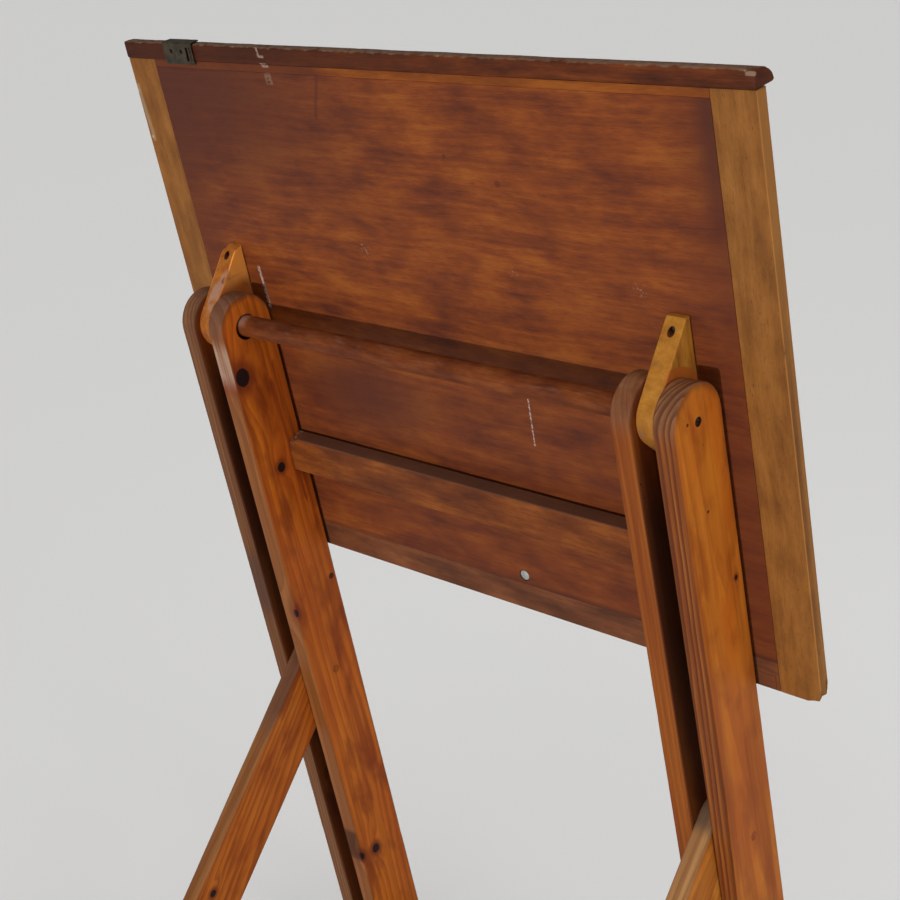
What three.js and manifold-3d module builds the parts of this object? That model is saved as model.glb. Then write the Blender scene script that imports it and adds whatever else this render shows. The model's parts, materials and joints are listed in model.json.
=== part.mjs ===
// A folding drawing table: a tilting board on a dowel between two pairs of planks, with folding rear legs.
// Millimetres, +Z up, X along the width of the board, -Y towards the rear legs.
// The origin is on the floor, below the middle of the open table.

import * as THREE from 'three';
import { mergeVertices } from 'three/addons/utils/BufferGeometryUtils.js';
import Module from 'manifold-3d';

const wasm = await Module();
wasm.setup();
const radians = THREE.MathUtils.degToRad;

// ---------------------------------------------------------------- driving dimensions

const CLEARANCE = 0.3;          // between pieces that touch
const LEAN = radians(10.1);     // planks from the vertical, feet towards +Y
const LEG_SPREAD = radians(50); // rear legs from the planks when open
const PIVOT_HEIGHT = 940;       // dowel axis above the floor

const PLANK_WIDTH = 71.2;
const PLANK_THICKNESS = 23.4;
const PLANK_GAP = 22.8;         // between the two planks of a pair
const INNER_SPAN = 533;         // between the two inner planks

const DOWEL_DIAMETER = 24;

const BOARD_WIDTH = 810;
const BOARD_THICKNESS = 13;
const BOARD_ABOVE_PIVOT = 283;  // dowel axis to the board edge under the ledge
const BOARD_BELOW_PIVOT = 301.5;
const BOARD_STAND_OFF = 38.2;   // dowel axis to the rear face of the board
const CLEAT_WIDTH = 45;
const LOWER_STRIP = 32.5;
const UPPER_STRIP = 8;
const BOARD_PLUG = { x: 48.6, z: -258.6, diameter: 11.6, depth: 9, sunk: 0.4 };

const LEDGE_HEIGHT = 18.4;
const LEDGE_PROUD = 1.8;        // behind the rear face of the board
const LEDGE_DEPTH = 27.5;

const CATCH = { x: -310.5, width: 47.6, height: 23.4, thickness: 1.5, flange: 12, hole: 4.2 };

const BRACKET_HALF_LENGTH = 80;
const BRACKET_NOSE_RADIUS = 29.2;
const BRACKET_TIP = 6;          // thickness of the tapered ends
const BRACKET_SCREW_Z = 69.5;
const BRACKET_SCREW_SUNK = 5;

const RAIL_DEPTH = 20.6;
const CROSS_RAIL = { top: -146, height: 43 };
const FOOT_RAIL = { top: -866, height: 44 };
const RAIL_SCREW_OFFSET = 11;   // rail screws either side of the rail's middle

const HINGE_BELOW_PIVOT = 458;
const HINGE_PIN_DIAMETER = 10;
const LEG_WIDTH = 72;
const LEG_SIDE_CLEARANCE = 0.5;

const STRETCHER = { below: 402, height: 50, thickness: 20 };

const STAY_ROD = 5;
const STAY_RING_RADIUS = 7;
const STAY_HOOK_DROP = 16;
const EYE_WIRE = 3.6;
const EYE_RADIUS = 6;

const WOOD_SCREW = { head: 8, headDepth: 3.4, shank: 4.4, length: 48 };
const BRACKET_SCREW = { head: 6.4, headDepth: 2.6, shank: 3.8, length: 20 };
const CATCH_SCREW = { head: 3.6, headDepth: 1.6, shank: 2.2, length: 12 };
const STRETCHER_SCREW = { head: 8, headDepth: 3.4, shank: 4.4, length: 52 };
const SCREW_SIDES = 12;

// ---------------------------------------------------------------- derived dimensions

const innerX = INNER_SPAN / 2;
const gapX = innerX + PLANK_THICKNESS;
const outerX = gapX + PLANK_GAP;
const sideX = outerX + PLANK_THICKNESS;
const gapMiddleX = gapX + PLANK_GAP / 2;
const plankEdge = PLANK_WIDTH / 2;
const legEdge = LEG_WIDTH / 2;
const legTilt = LEG_SPREAD - LEAN;
const hingeHeight = PIVOT_HEIGHT - HINGE_BELOW_PIVOT * Math.cos(LEAN);
const hingeForward = HINGE_BELOW_PIVOT * Math.sin(LEAN);
const boardFront = BOARD_STAND_OFF + BOARD_THICKNESS;

// Where a line across the planks or the legs meets the floor, in their own frames.
const plankFoot = (y) => -(PIVOT_HEIGHT + y * Math.sin(LEAN)) / Math.cos(LEAN);
const legFoot = (y) => -(hingeHeight - y * Math.sin(legTilt)) / Math.cos(legTilt);

// The open table reaches from the rear corner of the legs to the front corner of the planks.
const frontReach = plankEdge * Math.cos(LEAN) - plankFoot(plankEdge) * Math.sin(LEAN);
const rearReach = hingeForward - legEdge * Math.cos(legTilt) + legFoot(-legEdge) * Math.sin(legTilt);
const pivotY = -(frontReach + rearReach) / 2;

// ---------------------------------------------------------------- materials

function wood(color, roughness) {
  return new THREE.MeshStandardMaterial({ color, roughness, metalness: 0 });
}

const materials = {
  plank: wood(0xb5652a, 0.38),
  leg: wood(0xb86a2e, 0.42),
  dowel: wood(0x6e3a24, 0.35),
  rail: wood(0x8a4a26, 0.4),
  board: wood(0x7a3a1e, 0.4),
  strip: wood(0x8c4826, 0.42),
  cleat: wood(0x9a6a38, 0.45),
  ledge: wood(0x52291a, 0.35),
  bracket: wood(0xc08a3c, 0.4),
  steel: new THREE.MeshStandardMaterial({ color: 0x5b5750, roughness: 0.5, metalness: 0.9 }),
  plate: new THREE.MeshStandardMaterial({ color: 0x4a4a3c, roughness: 0.6, metalness: 0.8 }),
  plug: new THREE.MeshStandardMaterial({ color: 0x9aa39e, roughness: 0.55, metalness: 0.7 }),
};

// ---------------------------------------------------------------- solids

// Merges shared vertices and drops the empty triangles that a lathe leaves on its axis.
function closedMesh(geometry) {
  const bare = geometry.clone();
  bare.deleteAttribute('normal');
  bare.deleteAttribute('uv');
  const merged = mergeVertices(bare, 1e-4);
  const index = merged.getIndex().array;
  const kept = [];
  for (let i = 0; i < index.length; i += 3) {
    const [a, b, c] = [index[i], index[i + 1], index[i + 2]];
    if (a !== b && b !== c && c !== a) {
      kept.push(a, b, c);
    }
  }
  merged.setIndex(kept);
  return merged;
}

function toManifold(geometry) {
  const mesh = closedMesh(geometry);
  return new wasm.Manifold(new wasm.Mesh({
    numProp: 3,
    vertProperties: new Float32Array(mesh.getAttribute('position').array),
    triVerts: new Uint32Array(mesh.getIndex().array),
  }));
}

function toGeometry(manifold) {
  const mesh = manifold.getMesh();
  const geometry = new THREE.BufferGeometry();
  geometry.setAttribute('position', new THREE.BufferAttribute(mesh.vertProperties, 3));
  geometry.setIndex(new THREE.BufferAttribute(mesh.triVerts, 1));
  geometry.computeVertexNormals();
  return geometry;
}

function cut(geometry, tools) {
  let solid = toManifold(geometry);
  for (const tool of tools) {
    solid = solid.subtract(toManifold(tool));
  }
  return toGeometry(solid);
}

function join(geometries) {
  let solid = toManifold(geometries[0]);
  for (const geometry of geometries.slice(1)) {
    solid = solid.add(toManifold(geometry));
  }
  return toGeometry(solid);
}

// A box between two corners.
function slab(low, high) {
  const size = high.map((value, axis) => value - low[axis]);
  const middle = high.map((value, axis) => (value + low[axis]) / 2);
  return new THREE.BoxGeometry(...size).translate(...middle);
}

// A profile drawn in the YZ plane, extruded along X.
function alongX(shape, fromX, toX, curveSegments = 24) {
  const geometry = new THREE.ExtrudeGeometry(shape, {
    depth: toX - fromX,
    bevelEnabled: false,
    curveSegments,
  });
  const axes = new THREE.Matrix4().makeBasis(
    new THREE.Vector3(0, 1, 0),
    new THREE.Vector3(0, 0, 1),
    new THREE.Vector3(1, 0, 0),
  );
  return geometry.applyMatrix4(axes).translate(fromX, 0, 0);
}

function rodAlongX(diameter, fromX, toX, y, z, segments = 24) {
  return new THREE.CylinderGeometry(diameter / 2, diameter / 2, toX - fromX, segments)
    .rotateZ(Math.PI / 2)
    .translate((fromX + toX) / 2, y, z);
}

// Turns a solid made along -Y so that it points along a direction, from a point.
function aim(geometry, point, direction) {
  const turn = new THREE.Quaternion().setFromUnitVectors(
    new THREE.Vector3(0, -1, 0),
    new THREE.Vector3(...direction).normalize(),
  );
  return geometry.applyQuaternion(turn).translate(...point);
}

// A countersunk wood screw with its head at the point, driven along the direction.
function screw(spec, point, direction) {
  const head = spec.head / 2;
  const shank = spec.shank / 2;
  const profile = [
    new THREE.Vector2(0, -spec.length),
    new THREE.Vector2(shank * 0.4, -spec.length + 1),
    new THREE.Vector2(shank, -spec.length + 7),
    new THREE.Vector2(shank, -spec.headDepth),
    new THREE.Vector2(head, 0),
    new THREE.Vector2(0, 0),
  ];
  return aim(new THREE.LatheGeometry(profile, SCREW_SIDES), point, direction);
}

// The hole that such a screw needs, open above its head.
function screwHole(spec, point, direction, above = 2) {
  const head = spec.head / 2 + CLEARANCE;
  const shank = spec.shank / 2 + CLEARANCE;
  const profile = [
    new THREE.Vector2(0, -spec.length - CLEARANCE),
    new THREE.Vector2(shank, -spec.length - CLEARANCE),
    new THREE.Vector2(shank, -spec.headDepth - CLEARANCE),
    new THREE.Vector2(head, -CLEARANCE),
    new THREE.Vector2(head, above),
    new THREE.Vector2(0, above),
  ];
  return aim(new THREE.LatheGeometry(profile, SCREW_SIDES), point, direction);
}

function addPiece(group, name, geometry, material) {
  const mesh = new THREE.Mesh(geometry, material);
  mesh.name = name;
  group.add(mesh);
}

// One piece for each screw of a row, numbered from 1.
function addScrews(group, name, spec, points, direction) {
  points.forEach((point, i) => {
    addPiece(group, `${name}_${i + 1}`, closedMesh(screw(spec, point, direction)), materials.steel);
  });
}

// ---------------------------------------------------------------- fastener positions

const sides = [
  { name: 'left', sign: -1 },
  { name: 'right', sign: 1 },
];

// The screw through each outer plank into the end of the dowel.
const dowelScrewAt = (sign) => [sign * sideX, 0, 0];
const inwards = (sign) => [-sign, 0, 0];

// Two screws through each inner plank into the end of a rail.
function railScrewPoints(rail, sign) {
  const y = plankEdge - RAIL_DEPTH / 2;
  const z = rail.top - rail.height / 2;
  return [-1, 1].map((step) => [sign * gapX, y, z + step * RAIL_SCREW_OFFSET]);
}

// ---------------------------------------------------------------- stand

function plankShape() {
  const shape = new THREE.Shape();
  shape.moveTo(-plankEdge, plankFoot(-plankEdge));
  shape.lineTo(plankEdge, plankFoot(plankEdge));
  shape.lineTo(plankEdge, 0);
  shape.absarc(0, 0, plankEdge, 0, Math.PI, false);
  shape.closePath();
  return shape;
}

function hingeHole(fromX, toX) {
  return rodAlongX(HINGE_PIN_DIAMETER + 2 * CLEARANCE, fromX, toX, 0, -HINGE_BELOW_PIVOT);
}

function outerPlank(sign) {
  const [fromX, toX] = sign > 0 ? [outerX, sideX] : [-sideX, -outerX];
  return cut(alongX(plankShape(), fromX, toX), [
    hingeHole(fromX - 1, toX + 1),
    screwHole(WOOD_SCREW, dowelScrewAt(sign), inwards(sign)),
  ]);
}

function innerPlank(sign) {
  const [fromX, toX] = sign > 0 ? [innerX, gapX] : [-gapX, -innerX];
  const tools = [
    hingeHole(fromX - 1, toX + 1),
    rodAlongX(DOWEL_DIAMETER + 2 * CLEARANCE, fromX - 1, toX + 1, 0, 0, 32),
  ];
  for (const rail of [CROSS_RAIL, FOOT_RAIL]) {
    for (const point of railScrewPoints(rail, sign)) {
      tools.push(screwHole(WOOD_SCREW, point, inwards(sign)));
    }
  }
  return cut(alongX(plankShape(), fromX, toX), tools);
}

function pivotDowel() {
  const end = outerX - CLEARANCE;
  return cut(
    rodAlongX(DOWEL_DIAMETER, -end, end, 0, 0, 32),
    sides.map(({ sign }) => screwHole(WOOD_SCREW, dowelScrewAt(sign), inwards(sign))),
  );
}

function railBetweenPlanks(rail) {
  const end = innerX - CLEARANCE;
  const bar = slab(
    [-end, plankEdge - RAIL_DEPTH, rail.top - rail.height],
    [end, plankEdge, rail.top],
  );
  const tools = sides.flatMap(({ sign }) => railScrewPoints(rail, sign)
    .map((point) => screwHole(WOOD_SCREW, point, inwards(sign))));
  return cut(bar, tools);
}

function addStand(stand) {
  for (const { name, sign } of sides) {
    addPiece(stand, `plank_outer_${name}`, outerPlank(sign), materials.plank);
    addPiece(stand, `plank_inner_${name}`, innerPlank(sign), materials.plank);
    const dowelScrew = screw(WOOD_SCREW, dowelScrewAt(sign), inwards(sign));
    addPiece(stand, `dowel_end_screw_${name}`, closedMesh(dowelScrew), materials.steel);
    const crossPoints = railScrewPoints(CROSS_RAIL, sign);
    const footPoints = railScrewPoints(FOOT_RAIL, sign);
    addScrews(stand, `cross_rail_screw_${name}`, WOOD_SCREW, crossPoints, inwards(sign));
    addScrews(stand, `foot_rail_screw_${name}`, WOOD_SCREW, footPoints, inwards(sign));
    const [fromX, toX] = sign > 0 ? [innerX, sideX] : [-sideX, -innerX];
    const pin = rodAlongX(HINGE_PIN_DIAMETER, fromX, toX, 0, -HINGE_BELOW_PIVOT);
    addPiece(stand, `leg_hinge_pin_${name}`, closedMesh(pin), materials.bracket);
  }
  addPiece(stand, 'pivot_dowel', pivotDowel(), materials.dowel);
  addPiece(stand, 'cross_rail', railBetweenPlanks(CROSS_RAIL), materials.rail);
  addPiece(stand, 'foot_rail', railBetweenPlanks(FOOT_RAIL), materials.rail);
}

// ---------------------------------------------------------------- board

// The slope of a bracket touches its nose circle; this is the angle of that touching point.
const tipY = BOARD_STAND_OFF - BRACKET_TIP;
const tipDistance = Math.hypot(BRACKET_HALF_LENGTH, tipY);
const touchAngle = Math.atan2(BRACKET_HALF_LENGTH, tipY) + Math.acos(BRACKET_NOSE_RADIUS / tipDistance);
const slopeNormal = [Math.cos(touchAngle), Math.sin(touchAngle)];

function bracketShape() {
  const base = BOARD_STAND_OFF - CLEARANCE;
  const shape = new THREE.Shape();
  shape.moveTo(base, -BRACKET_HALF_LENGTH);
  shape.lineTo(base, BRACKET_HALF_LENGTH);
  shape.lineTo(tipY, BRACKET_HALF_LENGTH);
  shape.absarc(0, 0, BRACKET_NOSE_RADIUS, touchAngle, 2 * Math.PI - touchAngle, false);
  shape.lineTo(tipY, -BRACKET_HALF_LENGTH);
  shape.closePath();
  return shape;
}

// Screws go in square to the board, sunk below the sloping face.
function bracketScrewPoints(sign) {
  return [-1, 1].map((end) => {
    const y = (BRACKET_NOSE_RADIUS - BRACKET_SCREW_Z * slopeNormal[1]) / slopeNormal[0];
    return [sign * gapMiddleX, y + BRACKET_SCREW_SUNK, end * BRACKET_SCREW_Z];
  });
}

const towardsBoard = [0, 1, 0];

function bracketScrewHoles(sign) {
  return bracketScrewPoints(sign)
    .map((point) => screwHole(BRACKET_SCREW, point, towardsBoard, 3 * BRACKET_SCREW_SUNK));
}

function bracket(sign) {
  const halfThickness = PLANK_GAP / 2 - LEG_SIDE_CLEARANCE;
  const middle = sign * gapMiddleX;
  const bore = DOWEL_DIAMETER + 2 * CLEARANCE;
  return cut(alongX(bracketShape(), middle - halfThickness, middle + halfThickness), [
    rodAlongX(bore, middle - halfThickness - 1, middle + halfThickness + 1, 0, 0, 32),
    ...bracketScrewHoles(sign),
  ]);
}

// A cylinder square to the board, between two depths below its rear face.
function plugCylinder(diameter, fromDepth, toDepth) {
  const middle = BOARD_STAND_OFF + (fromDepth + toDepth) / 2;
  return new THREE.CylinderGeometry(diameter / 2, diameter / 2, toDepth - fromDepth, 32)
    .translate(BOARD_PLUG.x, middle, BOARD_PLUG.z);
}

function boardPlug() {
  return closedMesh(plugCylinder(BOARD_PLUG.diameter, BOARD_PLUG.sunk, BOARD_PLUG.depth));
}

function boardPanel() {
  const edge = BOARD_WIDTH / 2 - CLEAT_WIDTH - CLEARANCE;
  const panel = slab(
    [-edge, BOARD_STAND_OFF, -BOARD_BELOW_PIVOT + LOWER_STRIP + CLEARANCE],
    [edge, boardFront, BOARD_ABOVE_PIVOT - UPPER_STRIP - CLEARANCE],
  );
  const hole = plugCylinder(BOARD_PLUG.diameter + 2 * CLEARANCE, -1, BOARD_PLUG.depth + CLEARANCE);
  return cut(panel, [hole, ...sides.flatMap(({ sign }) => bracketScrewHoles(sign))]);
}

function boardStrip(low, high) {
  const edge = BOARD_WIDTH / 2 - CLEAT_WIDTH - CLEARANCE;
  return closedMesh(slab([-edge, BOARD_STAND_OFF, low], [edge, boardFront, high]));
}

function endCleat(sign) {
  const inner = BOARD_WIDTH / 2 - CLEAT_WIDTH;
  const outer = BOARD_WIDTH / 2;
  const [fromX, toX] = sign > 0 ? [inner, outer] : [-outer, -inner];
  return closedMesh(slab(
    [fromX, BOARD_STAND_OFF, -BOARD_BELOW_PIVOT],
    [toX, boardFront, BOARD_ABOVE_PIVOT],
  ));
}

const ledgeRear = BOARD_STAND_OFF - LEDGE_PROUD;
const ledgeBottom = BOARD_ABOVE_PIVOT + CLEARANCE;
const ledgeTop = ledgeBottom + LEDGE_HEIGHT;

// Flat behind and below, falling in one curve to a nose that stands in front of the board.
function ledgeShape() {
  const nose = ledgeRear + LEDGE_DEPTH;
  const shape = new THREE.Shape();
  shape.moveTo(ledgeRear + 2, ledgeBottom);
  shape.lineTo(nose - 3, ledgeBottom);
  shape.quadraticCurveTo(nose, ledgeBottom, nose, ledgeBottom + 3.5);
  shape.quadraticCurveTo(nose - 3, ledgeTop - 5, ledgeRear + 9, ledgeTop);
  shape.lineTo(ledgeRear + 2, ledgeTop);
  shape.quadraticCurveTo(ledgeRear, ledgeTop, ledgeRear, ledgeTop - 2);
  shape.lineTo(ledgeRear, ledgeBottom + 2);
  shape.quadraticCurveTo(ledgeRear, ledgeBottom, ledgeRear + 2, ledgeBottom);
  return shape;
}

function catchScrewPoints() {
  const y = ledgeRear - CLEARANCE - CATCH.thickness + 0.9;
  return [-0.24, 0.12].map((share) => [CATCH.x + share * CATCH.width, y, ledgeBottom + 10.5]);
}

function pencilLedge() {
  const bar = alongX(ledgeShape(), -BOARD_WIDTH / 2, BOARD_WIDTH / 2, 8);
  return cut(bar, catchScrewPoints().map((point) => screwHole(CATCH_SCREW, point, towardsBoard)));
}

// A plate on the back of the ledge, turned over its top edge, with two screw holes and a slot.
function catchPlate() {
  const low = CATCH.x - CATCH.width / 2;
  const high = CATCH.x + CATCH.width / 2;
  const back = ledgeRear - CLEARANCE - CATCH.thickness;
  const top = ledgeTop + CLEARANCE + CATCH.thickness;
  const bottom = top - CATCH.height;
  const plate = join([
    slab([low, back, bottom], [high, back + CATCH.thickness, top]),
    slab([low, back, top - CATCH.thickness], [high, back + CATCH.flange, top]),
  ]);
  const slot = slab([high - 9, back - 1, bottom + 5], [high - 4, back + CATCH.thickness + 1, top - 5]);
  const holes = catchScrewPoints().map(([x, , z]) => (
    new THREE.CylinderGeometry(CATCH.hole / 2, CATCH.hole / 2, 3 * CATCH.thickness, 24)
      .translate(x, back + CATCH.thickness / 2, z)
  ));
  return cut(plate, [slot, ...holes]);
}

function addBoard(board) {
  addPiece(board, 'board_panel', boardPanel(), materials.board);
  addPiece(board, 'board_plug', boardPlug(), materials.plug);
  const lowerTop = -BOARD_BELOW_PIVOT + LOWER_STRIP;
  addPiece(board, 'board_lower_strip', boardStrip(-BOARD_BELOW_PIVOT, lowerTop), materials.strip);
  const upperLow = BOARD_ABOVE_PIVOT - UPPER_STRIP;
  addPiece(board, 'board_upper_strip', boardStrip(upperLow, BOARD_ABOVE_PIVOT), materials.strip);
  addPiece(board, 'pencil_ledge', pencilLedge(), materials.ledge);
  addPiece(board, 'catch_plate', catchPlate(), materials.plate);
  addScrews(board, 'catch_plate_screw', CATCH_SCREW, catchScrewPoints(), towardsBoard);
  for (const { name, sign } of sides) {
    addPiece(board, `end_cleat_${name}`, endCleat(sign), materials.cleat);
    addPiece(board, `bracket_${name}`, bracket(sign), materials.bracket);
    const screwName = `bracket_screw_${name}`;
    addScrews(board, screwName, BRACKET_SCREW, bracketScrewPoints(sign), towardsBoard);
  }
}

// ---------------------------------------------------------------- rear legs

const stretcherFace = -legEdge - CLEARANCE;
const intoLegs = [0, 1, 0];

function stretcherScrewPoints(sign) {
  const middle = -STRETCHER.below - STRETCHER.height / 2;
  return [-1, 1].map((step) => [
    sign * gapMiddleX,
    stretcherFace - STRETCHER.thickness,
    middle + step * STRETCHER.height / 4,
  ]);
}

function stretcherScrewHoles(sign) {
  return stretcherScrewPoints(sign).map((point) => screwHole(STRETCHER_SCREW, point, intoLegs));
}

function legShape() {
  const shape = new THREE.Shape();
  shape.moveTo(-legEdge, legFoot(-legEdge));
  shape.lineTo(legEdge, legFoot(legEdge));
  shape.lineTo(legEdge, 0);
  shape.absarc(0, 0, legEdge, 0, Math.PI, false);
  shape.closePath();
  return shape;
}

function rearLeg(sign) {
  const halfThickness = PLANK_GAP / 2 - LEG_SIDE_CLEARANCE;
  const middle = sign * gapMiddleX;
  const bore = HINGE_PIN_DIAMETER + 2 * CLEARANCE;
  return cut(alongX(legShape(), middle - halfThickness, middle + halfThickness), [
    rodAlongX(bore, middle - halfThickness - 1, middle + halfThickness + 1, 0, 0),
    ...stretcherScrewHoles(sign),
  ]);
}

// The eye stands on the inner face of the stretcher, and its ring turns about X.
const eyeCentre = { y: stretcherFace + EYE_RADIUS + 5, z: -STRETCHER.below - STRETCHER.height / 2 };
const eyeShankLength = 16;

function stayEye() {
  const ring = new THREE.TorusGeometry(EYE_RADIUS, EYE_WIRE / 2, 8, 20)
    .rotateY(Math.PI / 2)
    .translate(0, eyeCentre.y, eyeCentre.z);
  const shank = new THREE.CylinderGeometry(EYE_WIRE / 2, EYE_WIRE / 2, eyeShankLength, 16)
    .translate(0, eyeCentre.y - EYE_RADIUS - eyeShankLength / 2, eyeCentre.z);
  return join([ring, shank]);
}

function stretcher() {
  const end = gapMiddleX + PLANK_GAP / 2 - LEG_SIDE_CLEARANCE;
  const bar = slab(
    [-end, stretcherFace - STRETCHER.thickness, -STRETCHER.below - STRETCHER.height],
    [end, stretcherFace, -STRETCHER.below],
  );
  const eyeHole = new THREE.CylinderGeometry(
    EYE_WIRE / 2 + CLEARANCE, EYE_WIRE / 2 + CLEARANCE, eyeShankLength + 2 * CLEARANCE, 16,
  ).translate(0, eyeCentre.y - EYE_RADIUS - eyeShankLength / 2, eyeCentre.z);
  return cut(bar, [eyeHole, ...sides.flatMap(({ sign }) => stretcherScrewHoles(sign))]);
}

function addRearLegs(legs) {
  for (const { name, sign } of sides) {
    addPiece(legs, `rear_leg_${name}`, rearLeg(sign), materials.leg);
    const screwName = `stretcher_screw_${name}`;
    addScrews(legs, screwName, STRETCHER_SCREW, stretcherScrewPoints(sign), intoLegs);
  }
  addPiece(legs, 'rear_stretcher', stretcher(), materials.leg);
  addPiece(legs, 'stay_eye', stayEye(), materials.steel);
}

// ---------------------------------------------------------------- hold-open stay

// Points of the stand and of the legs, in the vertical plane of the open table.
function standPoint(y, z) {
  return new THREE.Vector2(
    y * Math.cos(LEAN) - z * Math.sin(LEAN) + pivotY,
    y * Math.sin(LEAN) + z * Math.cos(LEAN) + PIVOT_HEIGHT,
  );
}

function legPoint(y, z) {
  return new THREE.Vector2(
    y * Math.cos(legTilt) + z * Math.sin(legTilt) + pivotY + hingeForward,
    -y * Math.sin(legTilt) + z * Math.cos(legTilt) + hingeHeight,
  );
}

// The hook bends round the foot rail's upper edge on this radius.
const HOOK_BEND = STAY_ROD / 2 + 1;

// A rod with a ring that runs through the eye, whose other end hooks over the foot rail.
function holdOpenStay() {
  const eye = legPoint(eyeCentre.y, eyeCentre.z);
  const bend = [90, 60, 30, 0].map(radians).map((angle) => standPoint(
    plankEdge + HOOK_BEND * Math.cos(angle),
    FOOT_RAIL.top + HOOK_BEND * Math.sin(angle),
  ));
  const beforeRail = standPoint(plankEdge - RAIL_DEPTH - 6, FOOT_RAIL.top + HOOK_BEND);
  const tip = standPoint(plankEdge + HOOK_BEND, FOOT_RAIL.top - STAY_HOOK_DROP);
  const along = beforeRail.clone().sub(eye).normalize();
  const start = along.clone().multiplyScalar(2 * STAY_RING_RADIUS).add(eye);
  const route = [start, start.clone().lerp(beforeRail, 0.5), beforeRail, ...bend, tip];
  const path = new THREE.CatmullRomCurve3(
    route.map((point) => new THREE.Vector3(0, point.x, point.y)),
    false,
    'centripetal',
  );
  const section = new THREE.EllipseCurve(0, 0, STAY_ROD / 2, STAY_ROD / 2).getPoints(8).slice(0, 8);
  const rod = new THREE.ExtrudeGeometry(new THREE.Shape(section), { extrudePath: path, steps: 48 });
  const ring = new THREE.TorusGeometry(STAY_RING_RADIUS, STAY_ROD / 2 - 0.3, 8, 20)
    .translate(0, STAY_RING_RADIUS, 0)
    .rotateX(along.angle())
    .translate(0, eye.x, eye.y);
  return join([rod, ring]);
}

// ---------------------------------------------------------------- assembly

const stand = new THREE.Group();
stand.position.set(0, pivotY, PIVOT_HEIGHT);
stand.rotation.x = LEAN;
addStand(stand);

const board = new THREE.Group();
board.position.copy(stand.position);
board.rotation.x = LEAN;
addBoard(board);

const rearLegs = new THREE.Group();
rearLegs.position.set(0, pivotY + hingeForward, hingeHeight);
rearLegs.rotation.x = -legTilt;
addRearLegs(rearLegs);

const table = new THREE.Group();
table.add(stand, board, rearLegs);
addPiece(table, 'hold_open_stay', holdOpenStay(), materials.steel);

export default table;
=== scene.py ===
import json
import math

import bmesh
import bpy
from mathutils import Matrix, Quaternion, Vector, noise


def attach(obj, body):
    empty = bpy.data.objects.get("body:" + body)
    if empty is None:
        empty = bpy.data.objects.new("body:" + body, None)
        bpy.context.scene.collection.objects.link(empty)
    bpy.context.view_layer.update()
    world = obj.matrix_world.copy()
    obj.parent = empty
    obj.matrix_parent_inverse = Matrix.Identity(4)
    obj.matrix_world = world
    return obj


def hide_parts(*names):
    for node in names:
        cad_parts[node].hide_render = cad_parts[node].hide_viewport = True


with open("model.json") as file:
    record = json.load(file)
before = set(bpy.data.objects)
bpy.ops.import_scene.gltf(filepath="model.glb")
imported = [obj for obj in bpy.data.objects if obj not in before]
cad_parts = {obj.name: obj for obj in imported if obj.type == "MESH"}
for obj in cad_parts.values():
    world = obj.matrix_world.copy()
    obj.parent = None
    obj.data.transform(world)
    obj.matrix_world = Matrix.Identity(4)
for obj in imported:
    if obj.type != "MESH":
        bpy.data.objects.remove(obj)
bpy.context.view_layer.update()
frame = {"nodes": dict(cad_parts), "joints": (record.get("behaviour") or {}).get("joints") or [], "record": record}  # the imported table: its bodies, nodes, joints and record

# ---------------------------------------------------------------- the table's frames
# Pieces are made in millimetres in the frame of the stand, the board, the rear legs or the stay. All have X
# along the board's width; the stand and the board lean with the planks, the legs' frame follows the legs, and
# the stay's is upright with its origin at the world's.

MM = 0.001
joints = {joint["name"]: joint for joint in frame["joints"]}
mounts = {mount["name"]: mount for mount in frame["record"]["mounts"]}
pivot = Vector(joints["board_tilt"]["pos_m"])
hinge = Vector(joints["rear_legs_fold"]["pos_m"])
face_normal = Vector(mounts["drawing_surface"]["axis"])
lean = math.atan2(face_normal.z, face_normal.y)
leg_tilt = math.radians(joints["rear_legs_fold"]["range_deg"][1]) - lean


def middle_of(low, high):
    return [(a + b) / 2 for a, b in zip(low, high)]


def pair(stem):
    """The names of the two CAD nodes that share a stem."""
    return [f"{stem}_{i}" for i in (1, 2)]


class Place:
    """The frame in which a body's pieces are made: an origin, and a turn about X."""

    def __init__(self, body, origin, turn):
        self.body = body
        self.origin = origin
        self.turn = turn
        self.matrix = Matrix.Translation(origin) @ Matrix.Rotation(turn, 4, "X")

    def extents(self, node):
        """Lowest and highest corner of a CAD node, in this frame's millimetres."""
        inverse = self.matrix.inverted()
        points = [inverse @ vertex.co / MM for vertex in frame["nodes"][node].data.vertices]
        low = Vector(min(p[axis] for p in points) for axis in range(3))
        high = Vector(max(p[axis] for p in points) for axis in range(3))
        return low, high


STAND = Place("stand", pivot, lean)
BOARD = Place("board", pivot, lean)
LEGS = Place("rear_legs", hinge, -leg_tilt)
STAY = Place("stay", Vector(), 0.0)

SIDES = {"left": -1, "right": 1}

hinge_level = (STAND.matrix.inverted() @ hinge).z / MM
BRACKET_HOLE_LEVEL = middle_of(*BOARD.extents("bracket_screw_right_2"))[2]

# The dowel's holes in the inner planks are worn wide, downwards and to the rear.
DOWEL_HOLE_RADIUS = 13.7
DOWEL_HOLE_CENTRE = (-0.9, -0.9)

HEAD_MARK = 44.4  # radius of the stain that each plank's head has left on its bracket
LEDGE_FALL = 1.5  # by which the ledge's top drops towards the right

# ---------------------------------------------------------------- camera, light and floor

CAMERA_AZIMUTH = math.radians(44.886)
CAMERA_ELEVATION = math.radians(19.414)
CAMERA_ROLL = math.radians(3.914)
CAMERA_FROM_PIVOT = Vector((1.1527, -1.1234, 0.4735))
LENS = 67.7
SENSOR_WIDTH = 36
SIDE_LIGHT_FROM_PIVOT = Vector((2.7, -0.35, 0.6))
KEY_TILT = math.radians(2.9)  # by which the key light is off the square to the board
FLOOR_RADIUS = 60


def new_object(name, data):
    thing = bpy.data.objects.new(name, data)
    bpy.context.scene.collection.objects.link(thing)
    return thing


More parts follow.
